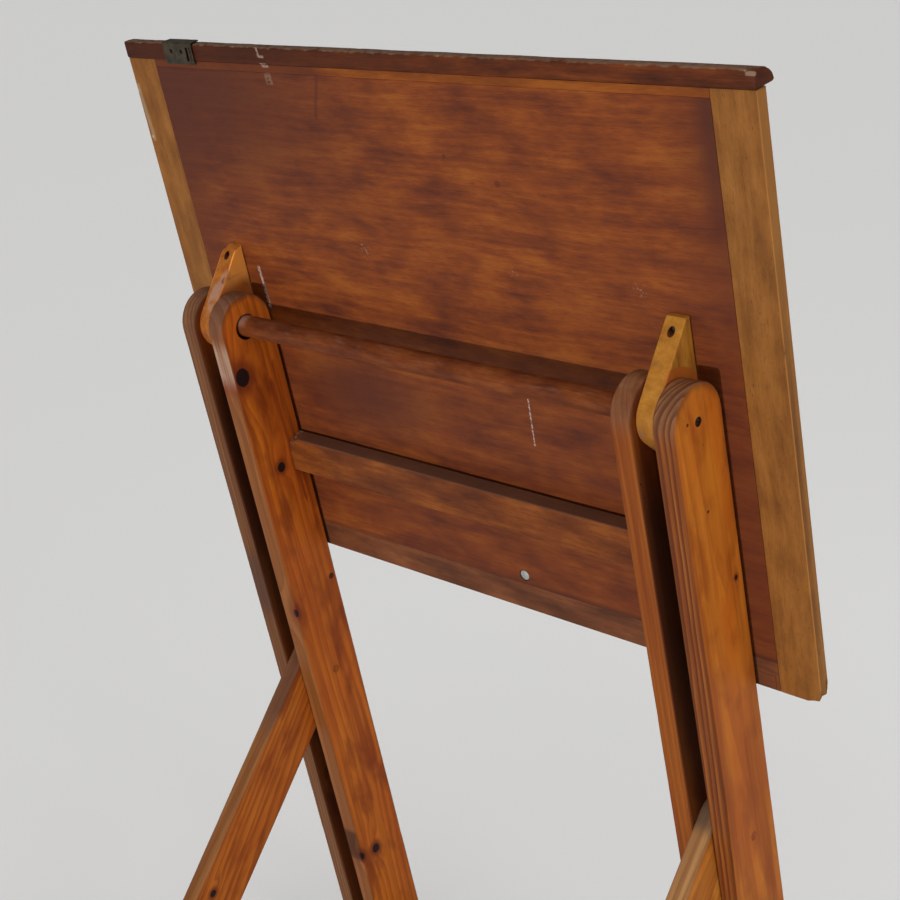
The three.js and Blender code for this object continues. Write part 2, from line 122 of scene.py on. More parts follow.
def mesh_from(shell, name):
    """The mesh of a bmesh, which is freed."""
    mesh = bpy.data.meshes.new(name)
    shell.to_mesh(mesh)
    shell.free()
    return mesh


def add_camera():
    data = bpy.data.cameras.new("camera")
    data.sensor_width = SENSOR_WIDTH
    data.lens = LENS
    camera = new_object("camera", data)
    camera.location = pivot + CAMERA_FROM_PIVOT
    forward = Vector((
        -math.sin(CAMERA_AZIMUTH) * math.cos(CAMERA_ELEVATION),
        math.cos(CAMERA_AZIMUTH) * math.cos(CAMERA_ELEVATION),
        -math.sin(CAMERA_ELEVATION),
    ))
    camera.rotation_mode = "QUATERNION"
    camera.rotation_quaternion = Quaternion(forward, CAMERA_ROLL) @ forward.to_track_quat("-Z", "Y")
    bpy.context.scene.camera = camera


def add_light(name, kind, direction, size, power, position=(0, 0, 0)):
    """A disk of light with its size in metres, or a sun with its angle in degrees."""
    data = bpy.data.lights.new(name, kind)
    data.energy = power
    if kind == "SUN":
        data.angle = math.radians(size)
    else:
        data.shape = "DISK"
        data.size = size
    light = new_object(name, data)
    light.location = position
    light.rotation_mode = "QUATERNION"
    light.rotation_quaternion = Vector(direction).to_track_quat("-Z", "Y")


def add_studio():
    world = bpy.data.worlds.new("studio")
    world.use_nodes = True
    background = world.node_tree.nodes["Background"]
    background.inputs["Color"].default_value = (1.0, 0.99, 0.98, 1)
    background.inputs["Strength"].default_value = 0.165
    bpy.context.scene.world = world
    bpy.context.scene.view_settings.view_transform = "Standard"

    # The key light is nearly square to the back of the board, so the dowel and the planks shade the board. It
    # comes from a little below the horizon, and reaches the table because the floor casts no shadow.
    key_angle = lean - KEY_TILT
    add_light("key", "SUN", (0, math.cos(key_angle), math.sin(key_angle)), 1.6, 2.15)
    side_light = pivot + SIDE_LIGHT_FROM_PIVOT
    add_light("side", "AREA", pivot - side_light, 1.6, 26, side_light)
    add_light("overhead", "SUN", (-0.15, 0.2, -1), 80, 1.8)

    shell = bmesh.new()
    bmesh.ops.create_circle(shell, cap_ends=True, segments=96, radius=FLOOR_RADIUS)
    floor = new_object("floor", mesh_from(shell, "floor"))
    paint = bpy.data.materials.new("floor_paint")
    paint.use_nodes = True
    surface = paint.node_tree.nodes["Principled BSDF"]
    surface.inputs["Base Color"].default_value = (0.86, 0.858, 0.85, 1)
    surface.inputs["Roughness"].default_value = 0.9
    surface.inputs["Specular IOR Level"].default_value = 0.1
    floor.data.materials.append(paint)
    floor.visible_shadow = False


# ---------------------------------------------------------------- node graphs


def operation(kind, swapped=False):
    """A method of Value that makes a math node of the value, with another value where it takes one."""

    def method(value, other=None):
        first, second = (other, value) if swapped else (value, other)
        return value.graph.math(kind, first, second)

    return method


class Value:
    """A node's output that can be used in sums."""

    def __init__(self, graph, socket):
        self.graph = graph
        self.socket = socket

    __add__ = __radd__ = operation("ADD")
    __sub__ = operation("SUBTRACT")
    __rsub__ = operation("SUBTRACT", swapped=True)
    __mul__ = __rmul__ = operation("MULTIPLY")
    __truediv__ = operation("DIVIDE")
    __abs__ = operation("ABSOLUTE")
    fraction = operation("FRACT")
    root = operation("SQRT")
    at_least = operation("MAXIMUM")
    at_most = operation("MINIMUM")

    def rise(self, low, high, start=0.0, end=1.0):
        """A smooth step from start, at low, to end, at high."""
        node = self.graph.node("ShaderNodeMapRange", interpolation_type="SMOOTHSTEP")
        self.graph.feed(node.inputs["Value"], self)
        limits = {"From Min": low, "From Max": high, "To Min": start, "To Max": end}
        for label, number in limits.items():
            self.graph.feed(node.inputs[label], number)
        return Value(self.graph, node.outputs["Result"])


class Graph:
    """The node tree of one material."""

    def __init__(self, name):
        self.material = bpy.data.materials.new(name)
        self.material.use_nodes = True
        self.tree = self.material.node_tree
        self.shader = self.tree.nodes["Principled BSDF"]

    def node(self, kind, **settings):
        node = self.tree.nodes.new(kind)
        for key, setting in settings.items():
            setattr(node, key, setting)
        return node

    def feed(self, socket, value):
        if isinstance(value, Value):
            self.tree.links.new(value.socket, socket)
        elif isinstance(value, tuple) and len(value) == 3 and socket.type == "RGBA":
            socket.default_value = (*value, 1)
        else:
            socket.default_value = value

    def math(self, operation, first, second=None):
        node = self.node("ShaderNodeMath", operation=operation)
        self.feed(node.inputs[0], first)
        if second is not None:
            self.feed(node.inputs[1], second)
        return Value(self, node.outputs[0])

    def local(self, place):
        """The coordinates of a place, in millimetres."""
        coordinates = self.node("ShaderNodeTexCoord")
        mapping = self.node("ShaderNodeMapping", vector_type="TEXTURE")
        mapping.inputs["Location"].default_value = place.origin
        mapping.inputs["Rotation"].default_value = (place.turn, 0, 0)
        mapping.inputs["Scale"].default_value = (MM, MM, MM)
        self.tree.links.new(coordinates.outputs["Object"], mapping.inputs["Vector"])
        split = self.node("ShaderNodeSeparateXYZ")
        self.tree.links.new(mapping.outputs[0], split.inputs[0])
        return [Value(self, socket) for socket in split.outputs]

    def noise(self, x, y, z, detail=2.0, roughness=0.5):
        vector = self.node("ShaderNodeCombineXYZ")
        for socket, value in zip(vector.inputs, (x, y, z)):
            self.feed(socket, value)
        node = self.node("ShaderNodeTexNoise")
        self.tree.links.new(vector.outputs[0], node.inputs["Vector"])
        node.inputs["Scale"].default_value = 1.0
        node.inputs["Detail"].default_value = detail
        node.inputs["Roughness"].default_value = roughness
        return Value(self, node.outputs[0])

    def mix(self, factor, first, second):
        node = self.node("ShaderNodeMix", data_type="RGBA")
        self.feed(node.inputs[0], factor)
        self.feed(node.inputs[6], first)
        self.feed(node.inputs[7], second)
        return Value(self, node.outputs[2])

    def ramp(self, value, stops):
        node = self.node("ShaderNodeValToRGB")
        self.feed(node.inputs[0], value)
        elements = node.color_ramp.elements
        while len(elements) < len(stops):
            elements.new(0.5)
        for element, (position, color) in zip(elements, stops):
            element.position = position
            element.color = (*color, 1)
        return Value(self, node.outputs[0])

    def bump(self, height, distance, strength):
        node = self.node("ShaderNodeBump")
        self.feed(node.inputs["Height"], height)
        node.inputs["Distance"].default_value = distance
        node.inputs["Strength"].default_value = strength
        return Value(self, node.outputs[0])

    def spot(self, across, along, centre, radius, soft):
        """1 inside a round spot, falling to 0 over its soft rim."""
        dx = across - centre[0]
        dy = along - centre[1]
        distance = (dx * dx + dy * dy).root()
        return distance.rise(radius + soft, radius)

    def stroke(self, across, along, start, end, width, soft):
        """1 near a line between two points."""
        run = Vector(end) - Vector(start)
        dx = across - start[0]
        dy = along - start[1]
        share = ((dx * run.x + dy * run.y) / run.length_squared).at_least(0.0).at_most(1.0)
        ox = dx - share * run.x
        oy = dy - share * run.y
        return (ox * ox + oy * oy).root().rise(width + soft, width)

    def patch(self, across, along, low, high, soft):
        """1 inside a rectangle, falling to 0 over its soft rim."""
        sides = across.rise(low[0] - soft, low[0]) * across.rise(high[0] + soft, high[0])
        return sides * along.rise(low[1] - soft, low[1]) * along.rise(high[1] + soft, high[1])

    def finish(self, color, roughness, normal, metallic=0.0, specular=0.12):
        self.feed(self.shader.inputs["Base Color"], color)
        self.shader.inputs["Specular IOR Level"].default_value = specular
        self.feed(self.shader.inputs["Roughness"], roughness)
        self.shader.inputs["Metallic"].default_value = metallic
        self.feed(self.shader.inputs["Normal"], normal)
        return self.material


# ---------------------------------------------------------------- wood


def pine(name, place, low, high, axes, tones, look, grime=0, head=False, extra=None):
    """Flat-sawn softwood: rings round a pith that lies behind the wide face.

    axes gives the letters of the grain, the wide face's width and the thickness. look holds a seed, the pith
    as (across, depth, tilt along the grain) in millimetres from the middle of the section, and the spacing of
    the rings. Where a piece differs from the usual it also holds how strong the rings' lines are on the wide
    faces (lines) and on the narrow ones (edge_lines), how strong the streaks are, the levels between which the
    narrow faces turn grey (weather), tones of its own, dark bands as (start, end, width, strength), and knots
    as (along, across, radius) with, on an arris, their depth too. Its other keys are read by the marks.
    grime is the side of the thickness that is dirty and painted in shade, head says that the piece has a round
    head at the origin, and extra adds the piece's own marks.
    """
    tones = {**tones, **look.get("tones", {})}
    g = Graph(name)
    letters = dict(zip("xyz", g.local(place)))
    middle = {letter: (low[i] + high[i]) / 2 for i, letter in enumerate("xyz")}
    half = {letter: (high[i] - low[i]) / 2 for i, letter in enumerate("xyz")}
    u = letters[axes[0]]
    v = letters[axes[1]] - middle[axes[1]]
    w = letters[axes[2]] - middle[axes[2]]
    half_v = half[axes[1]]
    half_w = half[axes[2]]
    seed = look["seed"]
    across, deep, tilt = look["pith"]

    drift = g.noise(u / 420 + seed, v / 160, w / 160, detail=1.0) - 0.5
    ripple = g.noise(u / 90 + seed, v / 22, w / 22, detail=2.0) - 0.5
    from_pith = v - across + drift * 30
    depth = w - deep - u * tilt
    radius = (from_pith * from_pith + depth * depth).root() + drift * 9 + ripple * 2.6
    dark_knot = None
    halo = None
    for along, aside, size, *at_depth in look.get("knots", ()):
        du = (u - along) / 1.15
        dv = v - aside
        dw = w - at_depth[0] if at_depth else w * 0.0
        distance = (du * du + dv * dv + dw * dw).root() + ripple * size * 0.5
        flow = ((du * du) / 9 + dv * dv).root()
        radius = radius + flow.rise(size * 2.8, 0.0) * size * 1.7
        inside = distance.rise(size * 1.08, size * 0.86)
        ring = (distance + drift * size * 2).rise(size * 2.5, size * 0.9)
        dark_knot = inside if dark_knot is None else dark_knot.at_least(inside)
        halo = ring if halo is None else halo.at_least(ring)

    uneven = g.noise(radius / 11, seed, 0.0, detail=1.0) - 0.5
    phase = (radius / look["spacing"] + uneven * 2.2).fraction()
    late = phase.rise(0.2, 0.85) * phase.rise(1.0, 0.92)
    fibre = g.noise(u / 34 + seed, v * 1.1, w * 1.1, detail=3.0, roughness=0.6)
    streak = g.noise(u / 240 + seed, v / 5.5, w / 8, detail=4.0, roughness=0.62)
    cloud = g.noise(u / 120 + seed, v / 34, w / 34, detail=3.0, roughness=0.55)
    blotch = g.noise(u / 60 - seed, v / 24, w / 40, detail=3.0, roughness=0.5)
    fine = g.noise(u / 9 + seed, v * 2.6, w * 2.6, detail=2.0)

    lines = look.get("lines", 0.2)
    wide = g.mix(cloud.rise(0.34, 0.66), tones["deep"], tones["light"])
    wide = g.mix(late * (lines + fibre * 0.5), wide, tones["late"])
    wide = g.mix(streak.rise(0.48, 0.70) * look.get("streaks", 0.5), wide, tones["late"])
    wide = g.mix(blotch.rise(0.48, 0.72) * 0.7, wide, tones["blotch"])
    border = abs(v).rise(half_v - 8, half_v - 1)
    wide = g.mix(border * 0.35, wide, tones["late"])
    for begin, end, width, strength in look.get("bands", ()):
        band = g.stroke(u + streak * 30, v + ripple * 8 + fibre * 3, begin, end, width * 0.3, width * 2.4)
        wide = g.mix(band * streak.rise(0.25, 0.6) * strength, wide, tones["late"])

    edge_lines = look.get("edge_lines", 0.66) + fibre * 0.4
    narrow = g.mix(streak.rise(0.36, 0.64), tones["edge_deep"], tones["edge_light"])
    narrow = g.mix(late * edge_lines, narrow, tones["edge_late"])
    reach = abs(v)
    if head:
        grey = g.mix(late * edge_lines, tones["weathered"], tones["weathered_late"])
        grey = g.mix(blotch.rise(0.42, 0.70) * 0.6, grey, tones["weathered_late"])
        start, full = look.get("weather", (-16.0, 20.0))
        narrow = g.mix(u.rise(start, full) * (0.25 + cloud * 0.9), narrow, grey)
        crown = u.at_least(0.0)
        reach = (v * v + crown * crown).root()
        smudge = (reach + ripple * 6).rise(half_v - 9, half_v - 1) * u.rise(2.0, 22.0)
        wide = g.mix(smudge * 0.6, wide, tones["weathered_late"])
    rim = reach.rise(half_v - 2.6, half_v - 0.7)
    color = g.mix(rim, wide, narrow)
    color = g.mix(fibre.rise(0.55, 0.85) * 0.25, color, tones["late"])
    color = g.mix(fine.rise(0.58, 0.8) * 0.15, color, tones["light"])
    if dark_knot is not None:
        color = g.mix(halo * 0.8, color, tones["halo"])
        color = g.mix(dark_knot, color, tones["knot"])
    # Dirt and painted shade: the faces towards the gap between a pair's planks are darkened, for dirt and for
    # the shade in the gap.
    if grime:
        dirt_and_shade = (w * grime).rise(half_w - 2.2, half_w - 0.5)
        if head:
            dirt_and_shade = dirt_and_shade * u.rise(-110.0, 0.0, 1.0, 0.6) * u.rise(-460.0, -240.0, 0.75, 1.0)
        color = g.mix(dirt_and_shade * 0.88, color, tones["grime"])
    noises = dict(fibre=fibre, cloud=cloud, fine=fine, ripple=ripple, streak=streak, rim=rim)
    if extra is not None:
        color = extra(g, color, letters, noises)

    height = late * (0.25 + rim * 0.5) + fibre * 0.4 + cloud * 0.6
    roughness = 0.42 + fibre * 0.14 + cloud * 0.1
    if grime:
        roughness = roughness + dirt_and_shade * 0.4
    return g.finish(color, roughness, g.bump(height, 0.0006, 0.6))


PINE = dict(
    light=(0.46, 0.125, 0.0075),
    deep=(0.37, 0.078, 0.0050),
    late=(0.19, 0.030, 0.0035),
    blotch=(0.19, 0.031, 0.0045),
    edge_light=(0.300, 0.104, 0.0120),
    edge_deep=(0.215, 0.060, 0.0060),
    edge_late=(0.090, 0.021, 0.0020),
    weathered=(0.175, 0.080, 0.039),
    weathered_late=(0.070, 0.026, 0.012),
    halo=(0.15, 0.024, 0.006),
    knot=(0.016, 0.006, 0.005),
    # grime is the tone of the dirt and painted shade in the planks' gaps, and of the dirt round the dowel's
    # holes.
    grime=(0.038, 0.010, 0.004),
)
LEG_PINE = dict(
    PINE,
    light=(0.49, 0.155, 0.018),
    deep=(0.39, 0.100, 0.010),
    late=(0.20, 0.038, 0.006),
    edge_light=(0.29, 0.130, 0.042),
    edge_deep=(0.20, 0.075, 0.022),
    edge_late=(0.13, 0.042, 0.014),
)


STAIN_DRAWN = 2.6  # how many times longer than wide the clouds of a stain are


def stain_tones(dark, deep, middle, light):
    return dict(dark=dark, deep=deep, middle=middle, light=light)


def stained(name, place, axes, seed, tones, coarse=1.0, extra=None):
    """Wood under an uneven stain: soft clouds, drawn out along the grain, under streaks and fibres."""
    g = Graph(name)
    letters = dict(zip("xyz", g.local(place)))
    u, v, w = (letters[letter] for letter in axes)
    drift = g.noise(u / 260 + seed, v / 120, w / 120, detail=2.0) - 0.5
    across = v + drift * 22
    width = 30 * coarse
    cloud = g.noise(u / (width * STAIN_DRAWN) + seed, across / width, w / 40, detail=4.0, roughness=0.6)
    streak = g.noise(u / 110 + seed, across / 5, w / 9, detail=4.0, roughness=0.6)
    fibre = g.noise(u / 15 + seed, v * 1.1, w * 1.1, detail=3.0, roughness=0.6)
    color = g.ramp(cloud * 0.7 + streak * 0.3, [
        (0.34, tones["dark"]),
        (0.44, tones["deep"]),
        (0.53, tones["middle"]),
        (0.64, tones["light"]),
    ])
    color = g.mix(fibre.rise(0.46, 0.76) * 0.5, color, tones["dark"])
    color = g.mix(fibre.rise(0.46, 0.26) * 0.3, color, tones["light"])
    if extra is not None:
        color = extra(g, color, letters, dict(fibre=fibre, cloud=cloud, streak=streak, drift=drift))
    height = fibre * 0.5 + streak * 0.5
    roughness = 0.42 + fibre * 0.14 + cloud * 0.1
    return g.finish(color, roughness, g.bump(height, 0.0004, 0.5))


BOARD_TONES = stain_tones(
    (0.072, 0.0150, 0.0060), (0.120, 0.0255, 0.0060),
    (0.170, 0.0380, 0.0062), (0.225, 0.0600, 0.0080),
)
LOWER_STRIP_TONES = stain_tones(
    (0.060, 0.019, 0.008), (0.090, 0.028, 0.011),
    (0.125, 0.039, 0.014), (0.165, 0.055, 0.019),
)
UPPER_STRIP_TONES = stain_tones(
    (0.11, 0.024, 0.0035), (0.15, 0.036, 0.0040),
    (0.20, 0.050, 0.0045), (0.26, 0.076, 0.0070),
)
CLEAT_TONES = stain_tones(
    (0.125, 0.044, 0.0080), (0.160, 0.057, 0.0100),
    (0.200, 0.074, 0.0130), (0.235, 0.094, 0.0190),
)
LEDGE_TONES = stain_tones(
    (0.032, 0.0065, 0.0020), (0.060, 0.0120, 0.0022),
    (0.090, 0.0180, 0.0025), (0.135, 0.0300, 0.0035),
)
DOWEL_TONES = stain_tones(
    (0.048, 0.0100, 0.0030), (0.082, 0.0170, 0.0035),
    (0.120, 0.0265, 0.0045), (0.170, 0.0430, 0.0080),
)
RAIL_TONES = stain_tones(
    (0.065, 0.0140, 0.0030), (0.105, 0.0240, 0.0040),
    (0.150, 0.0370, 0.0055), (0.225, 0.0640, 0.0090),
)
BRACKET_TONES = dict(
    left=stain_tones(
        (0.140, 0.032, 0.0050), (0.220, 0.058, 0.0080),
        (0.290, 0.086, 0.0115), (0.360, 0.125, 0.0190),
    ),
    right=stain_tones(
        (0.170, 0.056, 0.0085), (0.255, 0.096, 0.0115),
        (0.320, 0.128, 0.0150), (0.380, 0.165, 0.0220),
    ),
)
SCUFF = (0.42, 0.34, 0.30)
CHIPPED = (0.42, 0.26, 0.15)
# A dark tone for stains and holes, and also the colour of the painted shade on the board.
STAIN_AND_SHADE = (0.055, 0.014, 0.008)

# ---------------------------------------------------------------- marks on the wood


def board_marks(g, color, letters, noises):
    """Stains, scuffs, scratches, a painted shade below the dowel and a darker lower part, all on the face that
    the stand hides when the board is flat.
    """
    plain = color
    x, z = letters["x"], letters["z"]
    crumb = g.noise(x / 2.2, z / 2.2, 3.0, detail=2.0)
    ends = abs(x).rise(285, 358) * (0.25 + noises["cloud"] * 0.5)
    color = g.mix(ends, color, BOARD_TONES["dark"])
    left_top = x.rise(40, -300) * z.rise(60, 250) * (0.35 + noises["cloud"] * 0.9)
    color = g.mix(left_top, color, STAIN_AND_SHADE)
    corner = x.rise(334, 357) * z.rise(90, 235) * (0.5 + noises["streak"] * 0.5)
    color = g.mix(corner, color, STAIN_AND_SHADE)
    # The board is painted darker towards the bottom.
    below = z.rise(-10, -60) * 0.3
    color = g.mix(below, color, BOARD_TONES["dark"])
    seam = z.rise(-262.0, -268.0) * x.rise(-300, 330, 0.25, 1.0)
    color = g.mix(seam * 0.8, color, STAIN_AND_SHADE)
    drip = g.stroke(x + noises["drift"] * 14, z, (-103, 275), (-118, 232), 1.2, 2.4) * 0.5
    color = g.mix(drip, color, STAIN_AND_SHADE)
    blot = g.spot(x, z, (112, 182), 2.0, 3.0).at_least(g.spot(x, z, (50, 204), 1.2, 2.0)) * 0.6
    color = g.mix(blot, color, STAIN_AND_SHADE)
    crack = g.stroke(x, z, (311, 161), (355, 163), 0.25, 0.5) * 0.8
    color = g.mix(crack, color, STAIN_AND_SHADE)
    for start, end, width, strength in (
        ((101, -41), (99, -92), 0.45, 0.8),
        ((-270, 53), (-267, 7), 1.2, 0.75),
    ):
        sway = (crumb - 0.5) * (1.2 + width * 3.2)
        line = g.stroke(x + sway, z, start, end, width, 0.4 + width) * crumb.rise(0.38, 0.56)
        color = g.mix(line * strength, color, SCUFF)
    rubbed = g.noise(x / 5, z / 3.2, 5.0, detail=4.0, roughness=0.7)
    for centre, size in (((-89, 94), 12), ((113, 93), 8), ((261, 97), 9), ((300, 52), 8)):
        patch = g.spot(x, z, centre, 1.0, size) * rubbed.rise(0.56, 0.66)
        color = g.mix(patch * 0.5, color, SCUFF)
    # Painted shade: a soft dark patch on the board below the dowel, left of the middle.
    painted_shade = g.spot(x / 2.4, z, (-60, -80), 6, 55) * (0.3 + noises["cloud"] * 0.7)
    color = g.mix(painted_shade, color, STAIN_AND_SHADE)
    color = tape_marks(g, color, x, z)
    return g.mix(letters["y"].rise(41.0, 44.0), color, plain)


def tape_marks(g, color, x, z):
    """What is left of a strip of tape that ran over the ledge and the board."""
    torn = g.noise(x / 4.0, z / 3.0, 8.0, detail=3.0)
    slant = x + (z - 285) * 0.12
    dirty = g.patch(slant, z, (-183, 264), (-175, 274), 2.0) * torn.rise(0.34, 0.56)
    color = g.mix(dirty * 0.6, color, (0.17, 0.11, 0.070))
    joint = g.patch(slant, z, (-183, 281.0), (-174, 284.6), 1.2)
    lip = g.patch(slant, z, (-182, 291), (-175, 292.6), 1.0)
    side_line = g.patch(slant, z, (-183, 292), (-181.2, 300), 1.0)
    pale = joint.at_least(lip).at_least(side_line) * torn.rise(0.32, 0.50)
    return g.mix(pale * 0.55, color, (0.32, 0.24, 0.19))


def strip_marks(g, color, letters, noises):
    """A darker left half above, and the outline of a tongue below."""
    x, z = letters["x"], letters["z"]
    left = x.rise(-88, -112) * z.rise(0.0, 200.0) * 0.75
    color = g.mix(left, color, BOARD_TONES["dark"])
    across = g.stroke(x, z, (326, -285), (356, -285), 0.3, 0.5)
    down = g.stroke(x, z, (356, -285), (356, -301), 0.3, 0.5)
    color = g.mix(across.at_least(down) * 0.7, color, STAIN_AND_SHADE)
    return tape_marks(g, color, x, z)


def cleat_marks(g, color, letters, noises):
    x, y, z = letters["x"], letters["y"], letters["z"]
    pores = g.noise(x * 1.3, y * 1.3, z / 5, detail=1.0).rise(0.66, 0.74)
    color = g.mix(pores * 0.55, color, STAIN_AND_SHADE)
    grime = g.noise(x / 14, y / 14, z / 60, detail=3.0).rise(0.55, 0.8)
    color = g.mix(grime * 0.4, color, CLEAT_TONES["dark"])
    # Painted light: the outer end faces of the cleats are made lighter, to lift them out of their shade.
    color = g.mix(abs(x).rise(403.6, 404.6) * 0.6, color, (0.30, 0.125, 0.028))
    flaked = g.stroke(x, z, (-402, 252), (-398, 192), 1.0, 3.5) * grime.rise(0.9, 0.1)
    color = g.mix(flaked * 0.45, color, (0.30, 0.24, 0.15))
    chip = g.spot(x, z, (-404, 247), 1.5, 1.5).at_least(g.spot(x, z, (-400, 194), 1.2, 1.5))
    chip = chip.at_least(g.spot(x, z, (406, -246), 0.6, 1.2))
    return g.mix(chip * 0.8, color, CHIPPED)


def ledge_marks(low, high):
    """Bare wood along the worn upper edge, and a darker left half."""

    def marks(g, color, letters, noises):
        x, y, z = letters["x"], letters["y"], letters["z"]
        left = x.rise(160, -220) * 0.65
        color = g.mix(left, color, LEDGE_TONES["dark"])
        ragged = g.noise(x / 6, y / 5, z / 4, detail=3.0)
        top = high.z - (x - low.x) * LEDGE_FALL / (high.x - low.x)
        bare = (z + ragged * 3.6 - top).rise(0.2, 1.9)
        color = g.mix(bare * (0.4 + noises["streak"] * 0.5), color, (0.17, 0.105, 0.066))
        chips = bare * ragged.rise(0.68, 0.74)
        color = g.mix(chips * 0.4, color, CHIPPED)
        end = x.rise(high.x - 1.8, high.x - 0.6)
        rings = ((y * 0.9 + z) / 3.2).fraction().rise(0.3, 0.9) * 0.4
        color = g.mix(end * rings, color, LEDGE_TONES["dark"])
        corner = g.spot(y, z, (low.y + 1.5, high.z - 5.0), 1.3, 1.2) * x.rise(high.x - 9, high.x - 7)
        color = g.mix(corner * 0.4, color, (0.36, 0.24, 0.16))
        return tape_marks(g, color, x, z)

    return marks


def rail_marks(high):
    """A rubbed, greyer top, and chips in the left-hand end."""

    def marks(g, color, letters, noises):
        x, y, z = letters["x"], letters["y"], letters["z"]
        top = z.rise(high.z - 1.8, high.z - 0.5)
        color = g.mix(top * 0.7, color, (0.115, 0.055, 0.036))
        speck = g.noise(x / 1.6, y / 1.6, z / 1.6, detail=1.0).rise(0.62, 0.68)
        chips = speck * x.rise(-254, -262) * z.rise(high.z - 16, high.z - 3)
        return g.mix(chips, color, SCUFF)

    return marks


def dowel_marks(g, color, letters, noises):
    x, y, z = letters["x"], letters["y"], letters["z"]
    # Partly wear and partly a painted highlight: the upper half of the dowel is made lighter and greyer.
    rubbed = g.noise(x / 24, y / 4, z / 4, detail=3.0).rise(0.5, 0.75)
    color = g.mix(rubbed * z.rise(1, 9) * 0.3, color, (0.20, 0.105, 0.075))
    end = x.rise(-252, -262) * z.rise(2, 9)
    return g.mix(end * 0.6, color, (0.26, 0.135, 0.095))


def bracket_marks(low, high, side):
    """A ring left by the plank's head, grey rubbing below it, dark screw holes, and painted light on the left
    bracket's sides.
    """
    middle, _, _ = middle_of(low, high)
    half = (high.x - low.x) / 2

    def marks(g, color, letters, noises):
        x, y, z = letters["x"], letters["y"], letters["z"]
        flank = abs(x - middle).rise(half - 1.7, half - 0.9)
        reach = (y * y + z * z).root()
        rub = g.noise(x / 7, y / 9, z / 16, detail=3.0)
        grey = rub.rise(0.50, 0.72) * z.rise(70, 30) * (1.0 - flank)
        color = g.mix(grey * 0.5, color, (0.16, 0.085, 0.060))
        stained_ring = flank * reach.rise(HEAD_MARK + 0.6, HEAD_MARK - 0.6)
        color = g.mix(stained_ring * 0.85, color, (0.30, 0.070, 0.010))
        if side == "left":
            # Painted light: the side faces of the left bracket, above the dowel, are made bright orange as if
            # lit.
            color = g.mix(flank * z.rise(32, 50) * 0.85, color, (0.74, 0.280, 0.048))
            bleached = (z + rub * 26).rise(78, 62) * (z + rub * 22).rise(26, 36)
            side_line = z.rise(64, 34, middle + 5, middle - 8) - rub * 8
            bleached = bleached * (x - side_line - 4).rise(0, 5) * (1.0 - flank * 0.9)
            color = g.mix(bleached * rub.rise(0.25, 0.6) * 0.7, color, (0.31, 0.180, 0.130))
            star = g.spot(x, z, (middle + 7, 48), 1.4, 2.6) * rub.rise(0.35, 0.55)
            color = g.mix(star * 0.7, color, STAIN_AND_SHADE)
        for level in (-BRACKET_HOLE_LEVEL, BRACKET_HOLE_LEVEL):
            hole = g.spot(x, z, (middle, level), 3.6, 0.7) * y.rise(36.5, 33.5)
            color = g.mix(hole * 0.85, color, STAIN_AND_SHADE)
        return color

    return marks


def plank_marks(node, look, rank, side):
    """Dark dots, wear along the narrow face, and the dirty mouth of the dowel's hole."""

    def marks(g, color, letters, noises):
        y, z = letters["y"], letters["z"]
        for along, across, size in look.get("dots", ()):
            dot = g.spot(y + noises["ripple"] * 2, z, (across, along), size, size * 0.4)
            color = g.mix(dot * 0.85, color, PINE["knot"])
        for along, length, strength in look.get("bare", ()):
            span = abs(z - along).rise(length, length * 0.3) * noises["rim"] * y.rise(-20, -30)
            flaky = noises["streak"].rise(0.30, 0.56) * (0.5 + noises["cloud"] * 0.6)
            color = g.mix(span * flaky * strength, color, (0.40, 0.29, 0.21))
        for along, length, strength in look.get("dark_edge", ()):
            span = abs(z - along).rise(length, length * 0.4) * noises["rim"] * y.rise(-20, -30)
            color = g.mix(span * strength, color, (0.050, 0.022, 0.015))
        if rank == "inner":
            mouth = g.spot(y, z, DOWEL_HOLE_CENTRE, DOWEL_HOLE_RADIUS + 0.2, 1.0)
            color = g.mix(mouth * 0.9, color, PINE["grime"])
        else:
            mouth = g.spot(y, z, (0.0, 0.0), 4.3, 0.7)
            color = g.mix(mouth * 0.9, color, PINE["knot"])
        return color

    return marks


# ---------------------------------------------------------------- metal


def metal(name, place, seed, tones, roughness, metallic=0.75):
    """Old metal: a patchy film over it, with specks and fine scratches."""
    g = Graph(name)
    x, y, z = g.local(place)
    film = g.noise(x / 9 + seed, y / 9, z / 9, detail=4.0, roughness=0.6)
    speck = g.noise(x / 0.9, y / 0.9 + seed, z / 0.9, detail=2.0)
    scratch = g.noise(x / 11, y / 0.5, z / 0.5 + seed, detail=2.0)
    color = g.mix(film.rise(0.38, 0.62), tones["film"], tones["bare"])
    color = g.mix(speck.rise(0.56, 0.68) * 0.7, color, tones["speck"])
    color = g.mix(scratch.rise(0.62, 0.72) * 0.3, color, tones["bare"])
    rough = (film * 0.3 + speck * 0.15 + roughness - 0.2).at_most(0.95)
    height = film * 0.6 + speck * 0.4 + scratch * 0.2
    return g.finish(color, rough, g.bump(height, 0.0002, 0.6), metallic=metallic, specular=0.4)


OLD_STEEL = dict(bare=(0.110, 0.085, 0.065), film=(0.038, 0.022, 0.013), speck=(0.030, 0.011, 0.005))
SUNK_STEEL = dict(bare=(0.040, 0.024, 0.014), film=(0.020, 0.010, 0.005), speck=(0.012, 0.006, 0.003))
OLD_PLATE = dict(bare=(0.050, 0.036, 0.018), film=(0.019, 0.014, 0.007), speck=(0.008, 0.005, 0.003))
PALE_METAL = dict(bare=(0.31, 0.34, 0.31), film=(0.21, 0.235, 0.22), speck=(0.12, 0.13, 0.12))

# ---------------------------------------------------------------- meshes

ARRIS_STEPS = 3
CORNER_STEP = 22.5  # degrees between the points of a rounded corner
WIRE_SIDES = 14
SHARP_ANGLE = math.radians(38)
SLOW_WEAR = 40  # size in millimetres of the wear's waves
DENTS = 9
DENT_LEVEL = 0.42  # the noise above which there is a dent


